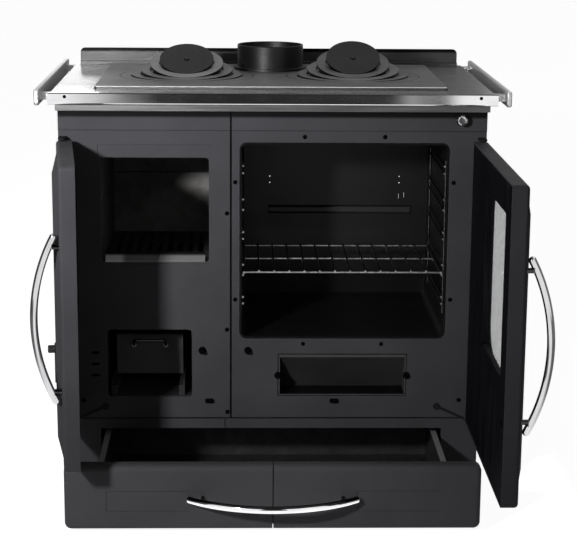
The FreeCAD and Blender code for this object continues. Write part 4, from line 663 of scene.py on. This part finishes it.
def braid(work, spots, depth, half_width, half_depth, place):
    """Braided rope along a closed loop: strands that wind both ways and pass over and under each other."""
    strands, sides, strand_radius, lift, spots_per_turn = 4, 5, 0.85, 0.35, 9
    count = len(spots)
    turns = round(count / spots_per_turn)
    for direction in (1, -1):
        for strand in range(strands):
            rings = []
            for number in range(count):
                spot, out = spots[number]
                phase = 2 * math.pi * (direction * turns * number / count + strand / strands)
                weave = lift * math.cos(2 * phase + direction * math.pi / 2)
                wide = (half_width - strand_radius - lift + weave) * math.cos(phase)
                deep = (half_depth - strand_radius - lift + weave) * math.sin(phase)
                ring = []
                for side in range(sides):
                    turn = 2 * math.pi * side / sides
                    wide_here = wide + strand_radius * math.cos(turn)
                    deep_here = deep + strand_radius * math.sin(turn)
                    flat = spot + out * wide_here
                    ring.append(work.verts.new(place(Vector((flat.x, depth + deep_here, flat.y)))))
                rings.append(ring)
            for number in range(count):
                this, following = rings[number], rings[(number + 1) % count]
                for side in range(sides):
                    other = (side + 1) % sides
                    work.faces.new((this[side], this[other], following[other], following[side]))


def on_left_door(point):
    """From the shut left door's own frame, about its hinge axis, to where the open door stands."""
    turned = Matrix.Rotation(math.radians(-LEFT_OPEN), 3, "Z") @ point
    return (turned + Vector((-HINGE_X, HINGE_Y, 0.0))) * MM


def on_body(point):
    """From millimetres to the stove's frame."""
    return point * MM


def make_door_gasket():
    """Rope round the firebox on the left door's liner."""
    width, side_gap, proud, top_field = 8.0, 12.0, 5.5, 27.5
    corner, step = 12.0, 1.5
    reach = side_gap + width / 2
    spots = loop_path(
        FIRE_LEFT - reach + HINGE_X, FIRE_BOTTOM - reach,
        FIRE_WIDTH + reach * 2, FIRE_HEIGHT + top_field + side_gap + width, corner, step,
    )
    depth = LINER_FACE + proud / 2

    def build(work):
        braid(work, spots, depth, width / 2, proud / 2, on_left_door)

    mesh_data = mesh_from(build, "door_gasket_rope")
    new_piece("door_gasket_rope", mesh_data, "left_door", "rope_seal", "left_door_gasket")


def make_oven_seal():
    """Rope that lines the oven opening."""
    fit, width, proud = 0.3, 5.0, 3.0
    corner, step = 15.0, 1.5
    inset = fit + width / 2
    spots = loop_path(
        OVEN_LEFT + inset, OVEN_BOTTOM + inset,
        OVEN_WIDTH - inset * 2, OVEN_HEIGHT - inset * 2, corner - inset, step,
    )
    near, far = FRONT_Y - proud, PLATE_BACK_Y

    def build(work):
        braid(work, spots, (near + far) / 2, width / 2, (far - near) / 2, on_body)

    mesh_data = mesh_from(build, "oven_seal_rope")
    new_piece("oven_seal_rope", mesh_data, "stove_body", "rope_seal", "oven_opening_seal")


def socket_screw(work, across, face, up, size=1.0):
    """Low domed screw head with a hexagon socket, looking to the front."""
    sides = 24
    profile = ((4.5, 0.0), (4.5, 0.5), (4.2, 1.1), (3.5, 1.7), (2.6, 2.1), (1.9, 2.2))
    socket, socket_depth = 1.6, 1.3

    def point(radius, turn, rise):
        wide, high = radius * math.cos(turn), radius * math.sin(turn)
        return work.verts.new(Vector((across + wide * size, face - rise * size, up + high * size)) * MM)

    rings = []
    for radius, rise in profile:
        rings.append([point(radius, 2 * math.pi * side / sides, rise) for side in range(sides)])
    for rise in (profile[-1][1], profile[-1][1] - socket_depth):
        ring = []
        for side in range(sides):
            turn = 2 * math.pi * side / sides
            flat = math.cos(math.pi / 6) / math.cos(turn % (math.pi / 3) - math.pi / 6)
            ring.append(point(socket * flat, turn, rise))
        rings.append(ring)
    for inner, outer in zip(rings[1:], rings[:-1]):
        for side in range(sides):
            other = (side + 1) % sides
            work.faces.new((outer[side], outer[other], inner[other], inner[side]))
    work.faces.new(rings[-1])
    work.faces.new(rings[0])


def make_plate_screws():
    """Screws of the front plates."""
    spots = [(across, up) for across in (65.0, 229.0) for up in (334.5, 771.0)]
    spots += [(across, up) for across in (-77.0, 371.5) for up in (430.0, 677.0)]
    spots += [(-94.0, 612.0), (-94.0, 365.0), (-93.0, 186.0), (395.5, 212.0), (-395.5, 212.0)]

    def build(work):
        for across, up in spots:
            socket_screw(work, across, FRONT_Y, up)

    mesh_data = mesh_from(build, "plate_screw_heads", smooth=False)
    new_piece("plate_screw_heads", mesh_data, "stove_body", "black_steel", "plate_screws", fitting)


def upright_pin(work, across, face, up, length):
    """Round-ended upright pin that stands on a wall."""
    sides, steps, radius = 12, 4, 1.6
    centre = face - radius
    levels = []
    for step in range(1, steps + 1):
        turn = math.pi / 2 * step / steps
        levels.append((radius * math.sin(turn), -length / 2 + radius * (1 - math.cos(turn))))
    levels += [(wide, -rise) for wide, rise in reversed(levels)]
    rings = []
    for wide, rise in levels:
        ring = []
        for side in range(sides):
            turn = 2 * math.pi * side / sides
            spot = (across + wide * math.cos(turn), centre + wide * math.sin(turn), up + rise)
            ring.append(work.verts.new(Vector(spot) * MM))
        rings.append(ring)
    for lower, upper in zip(rings[:-1], rings[1:]):
        for side in range(sides):
            other = (side + 1) % sides
            work.faces.new((lower[side], lower[other], upper[other], upper[side]))
    work.faces.new(rings[0])
    work.faces.new(rings[-1])


def make_oven_fittings():
    """Small screws on the oven's rear wall, and the two pins of the thermometer's clip."""
    rear_wall, screw_size, pin_length = 143.0, 0.55, 13.0
    screws = [(across, up) for across in (0.2, 298.0) for up in (605.5, 620.0)]
    pins = ((297.5, 574.0), (309.5, 577.0))

    def build(work):
        for across, up in screws:
            socket_screw(work, across, rear_wall, up, screw_size)
        for across, up in pins:
            upright_pin(work, across, rear_wall, up, pin_length)

    mesh_data = mesh_from(build, "oven_fittings", smooth=False)
    new_piece("oven_fittings", mesh_data, "stove_body", "chrome")


make_door_gasket()
make_oven_seal()
make_plate_screws()
make_oven_fittings()


# Studio

FLAT = (0.0, 0.0, 0.0)
FACING_FRONT = (math.radians(90.0), 0.0, 0.0)
FACING_SIDE = (math.radians(90.0), 0.0, math.radians(90.0))


def stage_plane(name, size, spot, turn):
    """Flat card or floor that isn't part of the stove."""
    def build(work):
        bmesh.ops.create_grid(work, x_segments=1, y_segments=1, size=0.5)

    card = bpy.data.objects.new(name, mesh_from(build, name))
    scene.collection.objects.link(card)
    card.scale = (size[0], size[1], 1.0)
    card.location = spot
    card.rotation_euler = turn
    return card


def make_floor():
    """Pale floor, white to the camera, that keeps a soft shadow; metal mirrors it pale only in front."""
    width, white, dim = 40.0, 0.93, 0.1
    floor = stage_plane("floor", (width, width), (0.0, 0.0, -0.0005), FLAT)
    paint = Paint("floor_white")
    paint.set(Base_Color=(0.9, 0.9, 0.9, 1.0), Roughness=0.9, Specular_IOR_Level=0.0)
    paint.set(Emission_Color=(1.0, 1.0, 1.0, 1.0), Emission_Strength=0.0)

    def fade(place, start, end):
        """From full to dim between two places in metres."""
        return paint.spread(place, 1.0, dim, start / width, end / width)

    behind = fade(paint.along("Y"), -0.5, -0.3)
    ahead = fade(paint.along("Y"), -3.4, -3.0)
    beside = fade(paint.away("X", 0.0), 0.8, 1.25)
    patch = paint.combine("MULTIPLY", behind, paint.combine("MAXIMUM", ahead, beside))
    path = paint.add("ShaderNodeLightPath")
    mirrored = paint.combine("MULTIPLY", path.outputs["Is Glossy Ray"], patch)
    seen = paint.combine("MAXIMUM", path.outputs["Is Camera Ray"], mirrored)
    shown = paint.combine("MAXIMUM", seen, path.outputs["Is Transmission Ray"])
    paint.link(paint.combine("MULTIPLY", shown, white), paint.shader.inputs["Emission Strength"])
    dress(floor, paint.material)


def hang_card(card, name, axis, levels, length=1.0):
    """Give a card grey levels at places along one of its axes, and show it to reflections alone."""
    paint = Paint(name)
    stops = [(place / length, level) for place, level in levels]
    paint.link(paint.greys(paint.along(axis), stops), paint.shader.inputs["Emission Color"])
    paint.set(Base_Color=(0.0, 0.0, 0.0, 1.0), Roughness=1.0, Specular_IOR_Level=0.0, Emission_Strength=1.0)
    dress(card, paint.material)
    card.visible_camera = False
    card.visible_diffuse = False
    card.visible_transmission = False
    card.visible_shadow = False


def make_front_wall():
    """Dark wall of the studio on the camera's side, pale at both ends, seen only in reflections."""
    width = 2.2
    wall = stage_plane("front_wall", (width, 4.0), (0.0, -4.6, 2.0), FACING_FRONT)
    levels = (
        (-1.1, 1.0), (-0.86, 1.0), (-0.73, 0.65), (-0.61, 0.24), (-0.45, 0.04), (-0.2, 0.025),
        (0.3, 0.03), (0.62, 0.04), (0.7, 0.36), (0.79, 0.15), (0.85, 0.2), (0.93, 1.0), (1.1, 1.0),
    )
    hang_card(wall, "wall_grey", "X", levels, width)


def make_rear_card():
    """Backdrop seen only in reflections, dark right of the middle and pale on both sides."""
    width = 8.0
    card = stage_plane("rear_card", (width, 3.0), (0.0, 3.2, 1.9), FACING_FRONT)
    levels = ((-4.0, 0.5), (-0.95, 0.5), (-0.6, 0.42), (0.1, 0.08), (0.92, 0.1), (1.0, 0.8), (4.0, 0.8))
    hang_card(card, "card_grey", "X", levels, width)


def make_ceiling_card():
    """Dark ceiling in front of the stove, so that the handles are dark on their upper side."""
    level = 0.03
    card = stage_plane("ceiling_card", (4.0, 3.4), (0.0, -2.9, 4.0), FLAT)
    hang_card(card, "ceiling_grey", "X", [(-0.5, level), (0.5, level)])


def make_side_cards():
    """Dark cards beside the stove that give the round chrome its dark edges."""
    for name, across, level in (("left_card", -2.6, 0.07), ("right_card", 2.6, 0.18)):
        card = stage_plane(name, (5.0, 2.6), (across, 0.3, 1.3), FACING_SIDE)
        hang_card(card, f"{name}_grey", "Y", [(-0.5, level), (0.5, level)])


def make_light(name, spot, aim, size, watts, spread=180.0):
    """Soft rectangular lamp that looks at a point; sizes in metres, spread in degrees."""
    data = bpy.data.lights.new(name, "AREA")
    data.shape = "RECTANGLE"
    data.size, data.size_y = size
    data.spread = math.radians(spread)
    data.energy = watts
    lamp = bpy.data.objects.new(name, data)
    lamp.location = spot
    lamp.rotation_euler = (Vector(aim) - Vector(spot)).to_track_quat("-Z", "Y").to_euler()
    scene.collection.objects.link(lamp)
    lamp.visible_camera = False
    return lamp


def make_world():
    """White surroundings to the camera, in metal and through glass; a low even light otherwise."""
    even_light, white = 0.048, 1.0
    world = bpy.data.worlds.new("studio")
    scene.world = world
    world.use_nodes = True
    tree = world.node_tree
    ground = tree.nodes["Background"]
    path = tree.nodes.new("ShaderNodeLightPath")
    seen = path.outputs["Is Camera Ray"]
    for kind in ("Is Glossy Ray", "Is Transmission Ray"):
        either = tree.nodes.new("ShaderNodeMath")
        either.operation = "MAXIMUM"
        tree.links.new(seen, either.inputs[0])
        tree.links.new(path.outputs[kind], either.inputs[1])
        seen = either.outputs["Value"]
    level = tree.nodes.new("ShaderNodeMapRange")
    level.inputs["To Min"].default_value = even_light
    level.inputs["To Max"].default_value = white
    tree.links.new(seen, level.inputs["Value"])
    tree.links.new(level.outputs["Result"], ground.inputs["Strength"])
    ground.inputs["Color"].default_value = (1.0, 1.0, 1.0, 1.0)


def make_camera():
    """Camera at the photograph's place and angle, in the stove's frame."""
    spot = Vector((-63.2, -3791.6, 1274.5)) * MM
    yaw, tilt, roll = (math.radians(angle) for angle in (1.58, 12.84, -0.45))
    focal_pixels, frame_pixels, sensor = 1735.0, 577.0, 36.0
    ahead = Vector((math.sin(yaw) * math.cos(tilt), math.cos(yaw) * math.cos(tilt), -math.sin(tilt)))
    right = Vector((math.cos(yaw), -math.sin(yaw), 0.0))
    down = ahead.cross(right)
    rolled_right = right * math.cos(roll) + down * math.sin(roll)
    rolled_down = down * math.cos(roll) - right * math.sin(roll)
    data = bpy.data.cameras.new("camera")
    data.sensor_width = sensor
    data.lens = focal_pixels / frame_pixels * sensor
    data.clip_end = 100.0
    camera = bpy.data.objects.new("camera", data)
    scene.collection.objects.link(camera)
    turn = Matrix((rolled_right, -rolled_down, -ahead)).transposed()
    camera.matrix_world = Matrix.Translation(spot) @ turn.to_4x4()
    scene.camera = camera


make_floor()
make_front_wall()
make_rear_card()
make_ceiling_card()
make_side_cards()
make_light(
    "key", (-1.11, -2.35, 1.29), aim=(-0.35, -0.3, 0.95), size=(0.16, 0.16), watts=10.5, spread=70.0,
)
fill = make_light("fill", (0.3, -3.6, 2.4), aim=(0.0, 0.0, 0.5), size=(2.4, 1.6), watts=3.6)
fill.visible_glossy = False
make_light(
    "rear_left", (-0.69, 2.60, 1.21), aim=(-0.43, -0.25, 0.86), size=(0.2, 0.14), watts=0.035, spread=50.0,
)
make_world()
make_camera()
